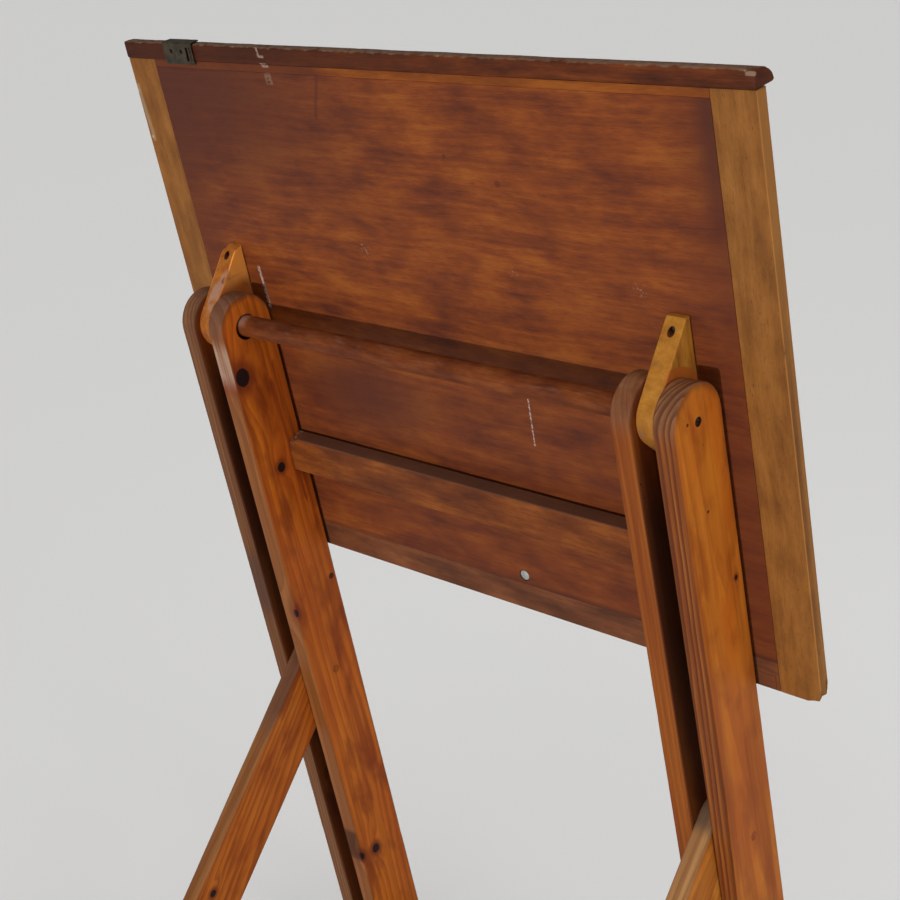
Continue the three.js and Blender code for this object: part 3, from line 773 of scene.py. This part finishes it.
def curve_points(centre, radius, start, end, step=5.0):
    """Points on an arc in the YZ plane, from one angle to another in degrees."""
    count = max(2, round(abs(end - start) / step))
    angles = [math.radians(start + (end - start) * i / count) for i in range(count + 1)]
    return [(centre[0] + radius * math.cos(a), centre[1] + radius * math.sin(a)) for a in angles]


def rounded_rectangle(low, high, radius):
    corners = [
        ((high[0] - radius, low[1] + radius), -90),
        ((high[0] - radius, high[1] - radius), 0),
        ((low[0] + radius, high[1] - radius), 90),
        ((low[0] + radius, low[1] + radius), 180),
    ]
    points = []
    for centre, start in corners:
        points += curve_points(centre, radius, start, start + 90, CORNER_STEP)
    return points


def densified(outline, longest):
    """The same closed outline with no edge longer than the given length."""
    points = []
    for start, end in zip(outline, outline[1:] + outline[:1]):
        parts = max(1, math.ceil(math.dist(start, end) / longest))
        points += [
            (start[0] + (end[0] - start[0]) * i / parts, start[1] + (end[1] - start[1]) * i / parts)
            for i in range(parts)
        ]
    return points


def board_outline(low, high, radius, longest, longer=0.0):
    """The section of a board that fills its extents, or goes on above them, with no edge over the longest."""
    return densified(rounded_rectangle((low.y, low.z), (high.y, high.z + longer), radius), longest)


def inward(outline):
    """For each point of a counter-clockwise outline, the step that insets it by 1."""
    steps = []
    for i, point in enumerate(outline):
        before = Vector(point) - Vector(outline[i - 1])
        after = Vector(outline[(i + 1) % len(outline)]) - Vector(point)
        first = Vector((-before.y, before.x)).normalized()
        second = Vector((-after.y, after.x)).normalized()
        middle = first + second
        steps.append(middle / max(0.25, middle.dot(first)))
    return steps


def wear(x, y, z, seed, depth):
    """How deep an arris is worn at a point: a slow unevenness, and a few dents."""

    def uneven(size):
        return noise.noise(Vector((x / size + seed, y / size, z / size)))

    return depth * (0.5 + 0.5 * uneven(SLOW_WEAR) + 2.2 * max(0.0, uneven(DENTS) - DENT_LEVEL))


def link(node, kind, mesh, place, material):
    """Puts a mesh that was made in a place's millimetres into the scene, for the CAD node it stands for."""
    mesh.transform(place.matrix @ Matrix.Scale(MM, 4))
    piece = new_object(f"{node}_{kind}", mesh)
    mesh.materials.clear()
    mesh.materials.append(material)
    mesh.polygons.foreach_set("use_smooth", [True] * len(mesh.polygons))
    mesh.set_sharp_from_angle(angle=SHARP_ANGLE)
    weighted = piece.modifiers.new("normals", "WEIGHTED_NORMAL")
    weighted.keep_sharp = True
    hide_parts(node)
    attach(piece, place.body)


def dent(mesh, centre, radius, push):
    """Pushes the points round a centre, most at the centre itself."""
    for vertex in mesh.vertices:
        share = (vertex.co - Vector(centre)).length / radius
        if share < 1:
            vertex.co += Vector(push) * (1 - share * share)


def ringed_mesh(name, rings, closed=False):
    """A mesh of rings of points, each joined to the next: capped at both ends, or closed into a loop."""
    shell = bmesh.new()
    loops = [[shell.verts.new(point) for point in ring] for ring in rings]
    following = loops[1:] + loops[:1] if closed else loops[1:]
    for near, far in zip(loops, following):
        for i in range(len(near)):
            j = (i + 1) % len(near)
            shell.faces.new((near[i], near[j], far[j], far[i]))
    if not closed:
        shell.faces.new(list(reversed(loops[0])))
        shell.faces.new(loops[-1])
    bmesh.ops.recalc_face_normals(shell, faces=shell.faces)
    return mesh_from(shell, name)


def prism(outline, x_low, x_high, radius, worn=0.0, seed=0.0, span=None):
    """A mesh of an outline in the YZ plane, drawn counter-clockwise, run along X with rounded end arrises."""
    steps = inward(outline)
    turns = [math.pi / 2 * i / ARRIS_STEPS for i in range(ARRIS_STEPS + 1)]
    rounding = [(radius * (1 - math.cos(a)), radius * (1 - math.sin(a))) for a in turns]
    stations = [(x_low + along, inset) for along, inset in rounding]
    if span:
        parts = max(1, round((x_high - x_low - 2 * radius) / span))
        gap = (x_high - x_low - 2 * radius) / parts
        stations += [(x_low + radius + gap * i, 0.0) for i in range(1, parts)]
    stations += [(x_high - along, inset) for along, inset in reversed(rounding)]
    rings = []
    for x, inset in stations:
        ring = []
        for (y, z), step in zip(outline, steps):
            depth = inset + wear(x, y, z, seed, worn)
            ring.append((x, y + step.x * depth, z + step.y * depth))
        rings.append(ring)
    return ringed_mesh("prism", rings)


def turned(profile, start, end, sides=32):
    """A mesh of (distance, radius) pairs turned about the line from start towards end."""
    start = Vector(start)
    axis = (Vector(end) - start).normalized()
    turn = axis.to_track_quat("Z", "Y").to_matrix()
    rings = []
    for distance, radius in profile:
        ring = []
        for i in range(sides):
            angle = 2 * math.pi * i / sides
            offset = turn @ Vector((radius * math.cos(angle), radius * math.sin(angle), distance))
            ring.append(start + offset)
        rings.append(ring)
    return ringed_mesh("turned", rings)


def box_mesh(low, high):
    shell = bmesh.new()
    bmesh.ops.create_cube(shell, size=1)
    for vertex in shell.verts:
        vertex.co = Vector(
            low[axis] + (high[axis] - low[axis]) * (vertex.co[axis] + 0.5) for axis in range(3)
        )
    return mesh_from(shell, "box")


def combined(mesh, others, operation):
    """The mesh with the others cut away from it or joined to it."""
    base = new_object("base", mesh)
    tools = [new_object("tool", other) for other in others]
    for tool in tools:
        modifier = base.modifiers.new("boolean", "BOOLEAN")
        modifier.operation = operation
        modifier.solver = "EXACT"
        modifier.object = tool
    graph = bpy.context.evaluated_depsgraph_get()
    result = bpy.data.meshes.new_from_object(base.evaluated_get(graph))
    for extra in [base, *tools]:
        bpy.data.objects.remove(extra)
    return result


def circle(centre, first, second, radius, count):
    """Points round a circle in the plane of two directions."""
    angles = [2 * math.pi * i / count for i in range(count)]
    return [Vector(centre) + radius * (first * math.cos(a) + second * math.sin(a)) for a in angles]


def tube(points, normal, radius, closed=False):
    """A round wire along points that lie in a plane, open with round ends or closed into a ring."""
    points = [Vector(point) for point in points]
    normal = Vector(normal).normalized()
    rings = []
    count = len(points)
    for i, point in enumerate(points):
        before = points[i - 1] if i or closed else point
        after = points[(i + 1) % count] if i < count - 1 or closed else point
        across = (after - before).cross(normal).normalized()
        from_end = count if closed else min(i, count - 1 - i)
        size = radius * (0.55, 0.88)[from_end] if from_end < 2 else radius
        rings.append(circle(point, across, normal, size, WIRE_SIDES))
    return ringed_mesh("tube", rings, closed)


TIP = 1.0  # length of a screw's bare point
ROWS_PER_PITCH = 5


def wood_screw(head, head_depth, shank, length, slot):
    """A slotted countersunk screw with its head at the origin, pointing along +Z."""
    pitch = shank * 0.5
    core = shank * 0.36
    thread_start = length * 0.4
    thread = length - TIP - thread_start
    turns = [i / WIRE_SIDES for i in range(WIRE_SIDES)]

    def ring(distance, radii):
        angles = [2 * math.pi * turn for turn in turns]
        return [(r * math.cos(a), r * math.sin(a), distance) for r, a in zip(radii, angles)]

    rows = [(0.0, head / 2 - 0.3), (0.3, head / 2), (0.6, head / 2), (head_depth, shank / 2)]
    rows.append((thread_start, shank / 2))
    count = math.ceil(thread / (pitch / ROWS_PER_PITCH))
    rings = [ring(distance, [radius] * WIRE_SIDES) for distance, radius in rows]
    for row in range(1, count + 1):
        share = row / count
        distance = thread_start + thread * share
        taper = 1 - 0.75 * max(0.0, share - 0.8) / 0.2
        radii = []
        for turn in turns:
            phase = (distance / pitch - turn) % 1
            ridge = max(0.0, 1 - abs(phase - 0.5) * 4) * (shank / 2 - core)
            radii.append((core + ridge) * taper)
        rings.append(ring(distance, radii))
    rings.append(ring(length, [0.1] * WIRE_SIDES))
    cutter = box_mesh((-head, -slot / 2, -1.0), (head, slot / 2, slot))
    return combined(ringed_mesh("screw", rings), [cutter], "DIFFERENCE")


def bore(start, end, radius, chamfer):
    """A cutter for a round hole with a chamfered mouth at its start."""
    length = (Vector(end) - Vector(start)).length
    return turned([(-2.0, radius + chamfer + 2.0), (chamfer, radius), (length, radius)], start, end)


def through_bore(low, high, centre, radius, chamfer):
    """A cutter along X with both mouths chamfered."""
    length = high - low
    return turned([
        (-2.0, radius + chamfer + 2.0),
        (chamfer, radius),
        (length - chamfer, radius),
        (length + 2.0, radius + chamfer + 2.0),
    ], (low, *centre), (high, *centre))


def bores_along_y(place, nodes, start, depth, radius, chamfer):
    """Cutters that start at one level of Y, each in line with a CAD node."""
    cutters = []
    for node in nodes:
        x, _, z = middle_of(*place.extents(node))
        cutters.append(bore((x, start, z), (x, start + depth, z), radius, chamfer))
    return cutters


# ---------------------------------------------------------------- screws

WOOD_SCREW = dict(head=8.0, head_depth=3.4, shank=4.4, length=46.0, slot=1.1)
BRACKET_SCREW = dict(head=6.4, head_depth=2.6, shank=3.8, length=19.0, slot=1.0)
CATCH_SCREW = dict(head=3.5, head_depth=1.5, shank=2.2, length=11.0, slot=0.6)


def add_screws(nodes, place, spec, axis, sunk, tones=OLD_STEEL):
    """One screw for each CAD screw, with the head at the end that the axis comes from."""
    master = wood_screw(**spec)
    material = metal(f"{nodes[0]}_steel", place, len(nodes) * 1.7, tones, 0.6, metallic=0.5)
    direction = Vector(axis)
    for i, node in enumerate(nodes):
        low, high = place.extents(node)
        middle = (low + high) / 2
        point = middle - direction * abs((high - low).dot(direction)) / 2 + direction * sunk
        mesh = master.copy()
        slant = Matrix.Rotation(0.7 + 1.9 * i, 4, "Z")
        turn = direction.to_track_quat("Z", "Y").to_matrix().to_4x4()
        mesh.transform(Matrix.Translation(point) @ turn @ slant)
        link(node, "steel", mesh, place, material)


def rail_screws(side):
    return pair(f"cross_rail_screw_{side}") + pair(f"foot_rail_screw_{side}")


def add_all_screws():
    for side, sign in SIDES.items():
        inwards = (-sign, 0, 0)
        ends = [f"dowel_end_screw_{side}"]
        add_screws(ends, STAND, WOOD_SCREW, inwards, DOWEL_SCREW_SUNK, SUNK_STEEL)
        add_screws(rail_screws(side), STAND, WOOD_SCREW, inwards, 0.3)
        brackets = pair(f"bracket_screw_{side}")
        add_screws(brackets, BOARD, BRACKET_SCREW, (0, 1, 0), 0.4, SUNK_STEEL)
        add_screws(pair(f"stretcher_screw_{side}"), LEGS, WOOD_SCREW, (0, 1, 0), 0.3)
    catch = pair("catch_plate_screw")
    add_screws(catch, BOARD, CATCH_SCREW, (0, 1, 0), 0.6, SUNK_STEEL)


# ---------------------------------------------------------------- stand

DOWEL_SCREW_SUNK = 1.8
DOWEL_SCREW_HOLE = 4.3
WOOD_SCREW_HOLE = 4.1
PIN_HOLE_IN_PLANK = 5.08


def upright_outline(half_width, lowest, slope):
    """A plank or leg seen from the side: a round head at the origin, and a foot cut level with the floor."""
    foot = [(-half_width, lowest), (half_width, lowest)]
    if slope > 0:
        foot[1] = (half_width, lowest + 2 * half_width * slope)
    else:
        foot[0] = (-half_width, lowest - 2 * half_width * slope)
    return foot + curve_points((0, 0), half_width, 0, 180)


PLANK_LOOKS = {
    "plank_outer_right": dict(
        seed=2.3, pith=(14, -88, 0.016), spacing=5.4, lines=0.12,
        knots=[(-172, 24, 2.6)],
        dots=[(4, -15, 1.3), (-88, -3, 1.3), (-24, 3, 0.5)],
        bands=[
            ((-130, 24), (-330, 26), 5, 0.6), ((-330, 14), (-640, 22), 8, 0.65),
            ((-160, -24), (-420, -28), 3, 0.5),
        ],
        tones=dict(
            light=(0.46, 0.142, 0.0120), deep=(0.40, 0.098, 0.0075), late=(0.225, 0.047, 0.0045),
            blotch=(0.235, 0.050, 0.0050), edge_light=(0.240, 0.072, 0.0110),
            edge_deep=(0.150, 0.036, 0.0065), edge_late=(0.075, 0.016, 0.0030),
        ),
    ),
    "plank_inner_right": dict(
        seed=5.1, pith=(10, 80, -0.01), spacing=6.0,
        knots=[(-420, 10, 5)], edge_lines=0.12,
        dark_edge=[(-560, 90, 0.55)],
        dots=[(-55, -33, 0.9), (-70, -31, 0.7)],
        tones=dict(edge_light=(0.235, 0.062, 0.0055), edge_deep=(0.170, 0.036, 0.0036)),
    ),
    "plank_inner_left": dict(
        seed=7.9, pith=(-74, -26, -0.006), spacing=10.0, lines=0.2, edge_lines=0.25, streaks=0.3,
        knots=[
            (-53, -23, 9.6), (-176, -3, 5.4), (-357, -38, 6.0, 12), (-732, -11, 5.6), (-728, -36, 5.0, 12),
        ],
        dots=[(-340, 27, 3.2)],
        bare=[(-34, 34, 0.9)],
        bands=[
            ((-60, 14), (-210, 20), 2.0, 1.0), ((-40, 24), (-230, 30), 2.0, 0.9),
            ((-330, 24), (-350, 18), 5, 0.7), ((-400, 18), (-440, 8), 6, 0.8),
            ((-500, 14), (-590, 20), 8, 0.9), ((-560, -4), (-640, 2), 3, 0.7),
        ],
        tones=dict(
            light=(0.60, 0.160, 0.0120), deep=(0.50, 0.112, 0.0085), late=(0.230, 0.036, 0.0060),
            blotch=(0.17, 0.026, 0.0050), weathered=(0.115, 0.056, 0.038),
            edge_light=(0.225, 0.080, 0.0200), edge_deep=(0.165, 0.050, 0.0110),
        ),
    ),
    "plank_outer_left": dict(
        seed=9.4, pith=(-12, 74, 0.018), spacing=5.8, edge_lines=0.4,
        knots=[(-240, 12, 5), (-620, -15, 6)],
        dark_edge=[(-330, 60, 0.6)],
        tones=dict(edge_light=(0.155, 0.066, 0.0250), edge_deep=(0.105, 0.040, 0.0140)),
    ),
}


def add_planks():
    for side, sign in SIDES.items():
        for rank in ("outer", "inner"):
            node = f"plank_{rank}_{side}"
            low, high = STAND.extents(node)
            half = (high.y - low.y) / 2
            face = high.x if sign > 0 else low.x
            outline = densified(upright_outline(half, low.z, -math.tan(lean)), 9)
            seed = 11.7 * sign + (3 if rank == "outer" else 8)
            mesh = prism(outline, low.x, high.x, 2.4, worn=0.45, seed=seed)
            cutters = [through_bore(low.x, high.x, (0, hinge_level), PIN_HOLE_IN_PLANK, 0.03)]
            if rank == "inner":
                cutters.append(through_bore(low.x, high.x, DOWEL_HOLE_CENTRE, DOWEL_HOLE_RADIUS, 0.5))
                cutters += rail_screw_cutters(side, sign, face)
            else:
                cutters.append(bore((face, 0, 0), (face - 30 * sign, 0, 0), DOWEL_SCREW_HOLE, 0.5))
            mesh = combined(mesh, cutters, "DIFFERENCE")
            look = PLANK_LOOKS[node]
            gap_side = -sign if rank == "outer" else sign
            marks = plank_marks(node, look, rank, side)
            material = pine(f"{node}_pine", STAND, low, high, "zyx", PINE, look, gap_side, True, marks)
            link(node, "wood", mesh, STAND, material)


def rail_screw_cutters(side, sign, face):
    cutters = []
    for node in rail_screws(side):
        _, y, z = middle_of(*STAND.extents(node))
        cutters.append(bore((face, y, z), (face - 4.0 * sign, y, z), WOOD_SCREW_HOLE, 0.2))
    return cutters


def add_rod(node, place, radius, material, seed, step=14.0, wobble=0.12, arris=0.8):
    """A round bar along X whose radius wanders inwards by up to the wobble."""
    low, high = place.extents(node)
    _, y, z = middle_of(low, high)
    length = high.x - low.x
    count = max(2, round(length / step))
    profile = [(0.0, radius - arris)]
    for i in range(count + 1):
        distance = arris + (length - 2 * arris) * i / count
        uneven = noise.noise(Vector((distance / 60, seed, 0)))
        profile.append((distance, radius - wobble * (0.5 + 0.5 * uneven)))
    profile.append((length, radius - arris))
    mesh = turned(profile, (low.x, y, z), (high.x, y, z), 48)
    link(node, "wood", mesh, place, material)


def add_dowel():
    material = stained("dowel_stain", STAND, "xzy", 3.7, DOWEL_TONES, coarse=0.8, extra=dowel_marks)
    add_rod("pivot_dowel", STAND, 12.0, material, 1.0)


def add_hinge_pins():
    for side in SIDES:
        node = f"leg_hinge_pin_{side}"
        low, high = STAND.extents(node)
        look = dict(seed=4.2, pith=(0, -20, 0), spacing=2.0)
        material = pine(f"{node}_pine", STAND, low, high, "xyz", PINE, look)
        add_rod(node, STAND, 5.0, material, 2.0, 8.0, 0.02, 0.1)


def add_rails():
    for node, seed in (("cross_rail", 21.3), ("foot_rail", 33.8)):
        low, high = STAND.extents(node)
        outline = board_outline(low, high, 2.2, 8)
        mesh = prism(outline, low.x, high.x, 0.5, worn=0.35, seed=seed, span=7)
        dent(mesh, (low.x, low.y, high.z), 15, (0, 1.5, -5.5))
        material = stained(f"{node}_stain", STAND, "xzy", seed, RAIL_TONES, extra=rail_marks(high))
        link(node, "wood", mesh, STAND, material)


# ---------------------------------------------------------------- board

DOWEL_HOLE_IN_BRACKET = 12.3
JOINT = 0.25  # by which the glued pieces of the board are drawn closer together than their solids


def add_board_panel():
    low, high = BOARD.extents("board_panel")
    outline = rounded_rectangle((low.y, low.z - JOINT), (high.y, high.z + JOINT), 0.2)
    mesh = prism(outline, low.x - JOINT, high.x + JOINT, 0.2)
    plug_low, plug_high = BOARD.extents("board_plug")
    radius = (plug_high.x - plug_low.x) / 2
    cutters = bores_along_y(BOARD, ["board_plug"], low.y, 9.3, radius + 0.5, 0.6)
    mesh = combined(mesh, cutters, "DIFFERENCE")
    material = stained("board_stain", BOARD, "xzy", 1.3, BOARD_TONES, extra=board_marks)
    link("board_panel", "wood", mesh, BOARD, material)


def add_board_plug():
    low, high = BOARD.extents("board_plug")
    x, _, z = middle_of(low, high)
    radius = (high.x - low.x) / 2
    depth = high.y - low.y
    profile = [(0.0, 0.6), (0.05, radius * 0.6), (0.25, radius - 0.9), (0.6, radius - 0.25)]
    profile += [(1.2, radius), (depth - 0.4, radius), (depth, radius - 0.4)]
    mesh = turned(profile, (x, low.y, z), (x, high.y, z), 48)
    material = metal("plug_metal", BOARD, 5.0, PALE_METAL, 0.5, metallic=0.25)
    link("board_plug", "disc", mesh, BOARD, material)


def add_board_strips():
    strips = (
        ("board_lower_strip", 14.2, 0.0, 0.9, LOWER_STRIP_TONES),
        ("board_upper_strip", 17.9, JOINT, 0.3, UPPER_STRIP_TONES),
    )
    for node, seed, longer, radius, tones in strips:
        low, high = BOARD.extents(node)
        outline = board_outline(low, high, radius, 10, longer)
        mesh = prism(outline, low.x - JOINT, high.x + JOINT, 0.4, worn=0.06, seed=seed, span=9)
        material = stained(f"{node}_stain", BOARD, "xzy", seed, tones, extra=strip_marks)
        link(node, "wood", mesh, BOARD, material)


def add_end_cleats():
    for side, sign in SIDES.items():
        node = f"end_cleat_{side}"
        low, high = BOARD.extents(node)
        outline = board_outline(low, high, 0.5, 9, JOINT)
        edge = high.x if sign > 0 else low.x
        mesh = prism(outline, low.x, high.x, 0.9, worn=0.12, seed=40 + sign, span=7)
        for y in (low.y, high.y):
            dent(mesh, (edge, y, low.z), 13, (-2.4 * sign, 0, 3.4))
        dent(mesh, (edge, low.y, 60 * sign), 9, (-0.8 * sign, 0.8, 0))
        material = stained(f"{node}_stain", BOARD, "zxy", 50.0 + 7 * sign, CLEAT_TONES, 0.7, cleat_marks)
        link(node, "wood", mesh, BOARD, material)


def bracket_outline(low, high):
    """The base against the board, two slopes, and a nose round the dowel."""
    nose = -low.y
    tip_y = high.y - 5.7
    tip = Vector((tip_y, high.z))
    touch = math.degrees(math.atan2(tip.y, tip.x) + math.acos(nose / tip.length))
    outline = [(high.y, low.z), (high.y, high.z), (tip_y, high.z)]
    outline += curve_points((0, 0), nose, touch, 360 - touch)
    outline.append((tip_y, low.z))
    return outline


def wear_bracket_tip(mesh, high, middle):
    """Rounds the upper tip, and the arris where hands and the plank's head have rubbed it."""
    for side in (-1, 1):
        dent(mesh, (middle + side * 11, high.y - 5, high.z), 9, (-1.2 * side, 1.0, -3.2))
    dent(mesh, (high.x, 12, 46), 15, (-1.6, 2.0, 0))
    dent(mesh, (high.x, 4, 33), 10, (-1.2, 1.4, 0))


def add_brackets():
    for side, sign in SIDES.items():
        node = f"bracket_{side}"
        low, high = BOARD.extents(node)
        middle = (low.x + high.x) / 2
        outline = densified(bracket_outline(low, high), 4)
        mesh = prism(outline, low.x, high.x, 1.4, worn=0.35, seed=60 + 5 * sign, span=4)
        cutters = [through_bore(low.x, high.x, (0, 0), DOWEL_HOLE_IN_BRACKET, 0.4)]
        for screw in pair(f"bracket_screw_{side}"):
            screw_low, screw_high = BOARD.extents(screw)
            x, _, z = middle_of(screw_low, screw_high)
            cutters.append(turned([(0, 3.6), (60, 3.6)], (x, screw_low.y + 3.0, z), (x, -60, z)))
        mesh = combined(mesh, cutters, "DIFFERENCE")
        if side == "left":
            wear_bracket_tip(mesh, high, middle)
        marks = bracket_marks(low, high, side)
        material = stained(f"{node}_stain", BOARD, "zyx", 70.0 + 9 * sign, BRACKET_TONES[side], 0.5, marks)
        link(node, "wood", mesh, BOARD, material)


LEDGE_SLOPE = ((1.6, 8.0), (5.0, 12.2), (10.0, 15.8), (15.0, 17.8))  # back from the nose, up from below


def add_ledge():
    low, high = BOARD.extents("pencil_ledge")
    nose = high.y
    outline = curve_points((nose - 3.2, low.z + 3.2), 3.2, -90, -10, 16)
    outline += [(nose - back, low.z + up) for back, up in LEDGE_SLOPE]
    outline.append((low.y + 7.0, high.z - 0.1))
    outline += curve_points((low.y + 2.0, high.z - 2.0), 2.0, 90, 180, 30)
    outline += curve_points((low.y + 1.6, low.z + 1.6), 1.6, 180, 270, 30)
    mesh = prism(densified(outline, 4), low.x, high.x, 1.6, worn=0.6, seed=80, span=5)
    for x, radius, deep in ((high.x, 8, 2.0), (-96, 7, 1.6), (40, 9, 1.0), (210, 7, 1.2), (330, 8, 1.4)):
        dent(mesh, (x, low.y, high.z), radius, (0, 0.5 * deep, -deep))
    for vertex in mesh.vertices:
        along = (vertex.co.x - low.x) / (high.x - low.x)
        vertex.co.z -= LEDGE_FALL * along * (vertex.co.z - low.z) / (high.z - low.z)
    cutters = bores_along_y(BOARD, pair("catch_plate_screw"), low.y, 10, 1.3, 0.6)
    mesh = combined(mesh, cutters, "DIFFERENCE")
    marks = ledge_marks(low, high)
    material = stained("pencil_ledge_stain", BOARD, "xzy", 90.0, LEDGE_TONES, extra=marks)
    link("pencil_ledge", "wood", mesh, BOARD, material)


def add_catch_plate():
    """A sheet turned over the ledge, with two screw holes and a slot whose outer edge is pressed out."""
    low, high = BOARD.extents("catch_plate")
    sheet = 1.5
    bend = 1.7
    outline = [
        (low.y, low.z),
        (low.y + sheet, low.z),
        (low.y + sheet, high.z - sheet),
        (high.y, high.z - sheet),
        (high.y, high.z),
    ]
    outline += curve_points((low.y + bend, high.z - bend), bend, 90, 180, 22.5)
    mesh = prism(densified(outline, 3), low.x, high.x, 0.35, worn=0.12, seed=150, span=3)
    slot_low = Vector((high.x - 10.4, low.y - 3, low.z + 4.0))
    slot_high = Vector((high.x - 5.4, low.y + sheet + 3, high.z - 5))
    cutters = [box_mesh(slot_low, slot_high)]
    for screw in pair("catch_plate_screw"):
        x, _, z = middle_of(*BOARD.extents(screw))
        cutters.append(turned([(0, 2.9), (1.4, 2.1), (6, 2.1)], (x, low.y - 0.4, z), (x, low.y + 6, z)))
    mesh = combined(mesh, cutters, "DIFFERENCE")
    lug_outline = densified(rounded_rectangle((low.y - 1.1, slot_low.z), (low.y + 0.8, slot_high.z), 0.6), 2)
    lug = prism(lug_outline, high.x - 5.2, high.x - 3.4, 0.4, worn=0.1, seed=152)
    mesh = combined(mesh, [lug], "UNION")
    material = metal("catch_plate_metal", BOARD, 9.0, OLD_PLATE, 0.5, metallic=0.5)
    link("catch_plate", "sheet", mesh, BOARD, material)


# ---------------------------------------------------------------- rear legs

PIN_HOLE_IN_LEG = 5.3

LEG_LOOKS = {
    "rear_leg_left": dict(
        seed=120.0, pith=(60, -90, 0.05), spacing=4.6, lines=0.25, streaks=0.35, edge_lines=0.1,
        weather=(-130, -70),
        knots=[(-300, -14, 4.0)],
        bands=[((-120, 6), (-420, 14), 1.2, 0.4)],
        tones=dict(
            light=(0.55, 0.160, 0.0160), deep=(0.46, 0.112, 0.0100), edge_light=(0.230, 0.095, 0.029),
            edge_deep=(0.155, 0.055, 0.016), weathered=(0.115, 0.048, 0.030),
            weathered_late=(0.070, 0.026, 0.016),
        ),
    ),
    "rear_leg_right": dict(
        seed=131.0, pith=(-8, 66, 0.02), spacing=8.0, edge_lines=0.15, weather=(-24, -6),
        knots=[(-390, 12, 5.0)],
        tones=dict(
            light=(0.54, 0.210, 0.028), deep=(0.46, 0.152, 0.018), edge_light=(0.330, 0.165, 0.062),
            edge_deep=(0.240, 0.110, 0.038), weathered=(0.105, 0.064, 0.042),
            weathered_late=(0.070, 0.040, 0.026),
        ),
    ),
}


def add_rear_legs():
    for side, sign in SIDES.items():
        node = f"rear_leg_{side}"
        low, high = LEGS.extents(node)
        half = (high.y - low.y) / 2
        outline = densified(upright_outline(half, low.z, math.tan(leg_tilt)), 9)
        mesh = prism(outline, low.x, high.x, 2.0, worn=0.45, seed=100 + 7 * sign)
        mesh = combined(mesh, [through_bore(low.x, high.x, (0, 0), PIN_HOLE_IN_LEG, 0.3)], "DIFFERENCE")
        material = pine(f"{node}_pine", LEGS, low, high, "zyx", LEG_PINE, LEG_LOOKS[node], head=True)
        link(node, "wood", mesh, LEGS, material)
    node = "rear_stretcher"
    low, high = LEGS.extents(node)
    outline = board_outline(low, high, 2.0, 8)
    mesh = prism(outline, low.x, high.x, 1.2, worn=0.35, seed=130, span=9)
    screws = pair("stretcher_screw_left") + pair("stretcher_screw_right")
    cutters = bores_along_y(LEGS, screws, low.y, 4, WOOD_SCREW_HOLE, 0.3)
    mesh = combined(mesh, cutters, "DIFFERENCE")
    look = dict(seed=140.0, pith=(5, 50, 0.01), spacing=6.0, knots=[(-120, 8, 4.0)])
    material = pine(f"{node}_pine", LEGS, low, high, "xzy", LEG_PINE, look)
    link(node, "wood", mesh, LEGS, material)


def bent(start, corner, end, count=8):
    """Points round a bend that leaves one line at its start and joins another at its end."""
    points = []
    for i in range(count + 1):
        t = i / count
        points.append(start * (1 - t) ** 2 + corner * 2 * t * (1 - t) + end * t * t)
    return points


EYE_WIRE = 3.6
STAY_ROD = 5.0
RING_ROD = 4.4
RING_RADIUS = 7.0


def add_stay():
    """An eye screwed into the stretcher, and a rod that hangs in it and hooks over the foot rail."""
    eye_low, eye_high = LEGS.extents("stay_eye")
    ring_outer = (eye_high.z - eye_low.z) / 2
    middle_z = (eye_low.z + eye_high.z) / 2
    centre = Vector((0, eye_high.y - ring_outer, middle_z))
    along_y = Vector((0, 1, 0))
    along_z = Vector((0, 0, 1))
    wire_path = circle(centre, along_y, along_z, ring_outer - EYE_WIRE / 2, 40)
    ring = tube(wire_path, (1, 0, 0), EYE_WIRE / 2, True)
    shank_end = Vector((0, centre.y - ring_outer + EYE_WIRE / 2, middle_z))
    shank_start = Vector((0, eye_low.y, middle_z))
    steps = [shank_start.lerp(shank_end, i / 12) for i in range(13)]
    eye = combined(ring, [tube(steps, (1, 0, 0), EYE_WIRE / 2)], "UNION")
    steel = metal("stay_steel", STAY, 12.0, OLD_STEEL, 0.5)
    link("stay_eye", "steel", eye, LEGS, steel)

    to_world = Matrix.Scale(1 / MM, 4)
    rail_low, rail_high = STAND.extents("foot_rail")

    def stand_point(y, z):
        return to_world @ (STAND.matrix @ (Vector((0, y, z)) * MM))

    bend = STAY_ROD / 2 + 1
    over = rail_high.z + bend
    before = stand_point(rail_low.y - 6, over)
    hook = []
    for degrees in range(90, -1, -10):
        angle = math.radians(degrees)
        aside = bend * math.cos(angle)
        above = bend * math.sin(angle)
        hook.append(stand_point(rail_high.y + aside, rail_high.z + above))
    hook += [stand_point(rail_high.y + bend, rail_high.z - drop) for drop in (5.0, 10.0, 14.0, 15.2, 16.0)]
    eye_centre = to_world @ (LEGS.matrix @ (centre * MM))
    along = (before - eye_centre).normalized()
    start = eye_centre + along * 2 * RING_RADIUS
    turn_in = before - along * 12
    turn_out = stand_point(rail_low.y + 6, over)
    straight = [start.lerp(turn_in, i / 24) for i in range(24)]
    rod = tube([*straight, *bent(turn_in, before, turn_out), *hook], (1, 0, 0), STAY_ROD / 2)
    across = Vector((1, 0, 0))
    ring_centre = eye_centre + along * RING_RADIUS
    loop = circle(ring_centre, across, along, RING_RADIUS, 40)
    loop = tube(loop, across.cross(along), RING_ROD / 2, True)
    mesh = combined(rod, [loop], "UNION")
    link("hold_open_stay", "steel", mesh, STAY, steel)


add_camera()
add_studio()
add_planks()
add_dowel()
add_hinge_pins()
add_rails()
add_board_panel()
add_board_plug()
add_board_strips()
add_end_cleats()
add_brackets()
add_ledge()
add_catch_plate()
add_rear_legs()
add_stay()
add_all_screws()
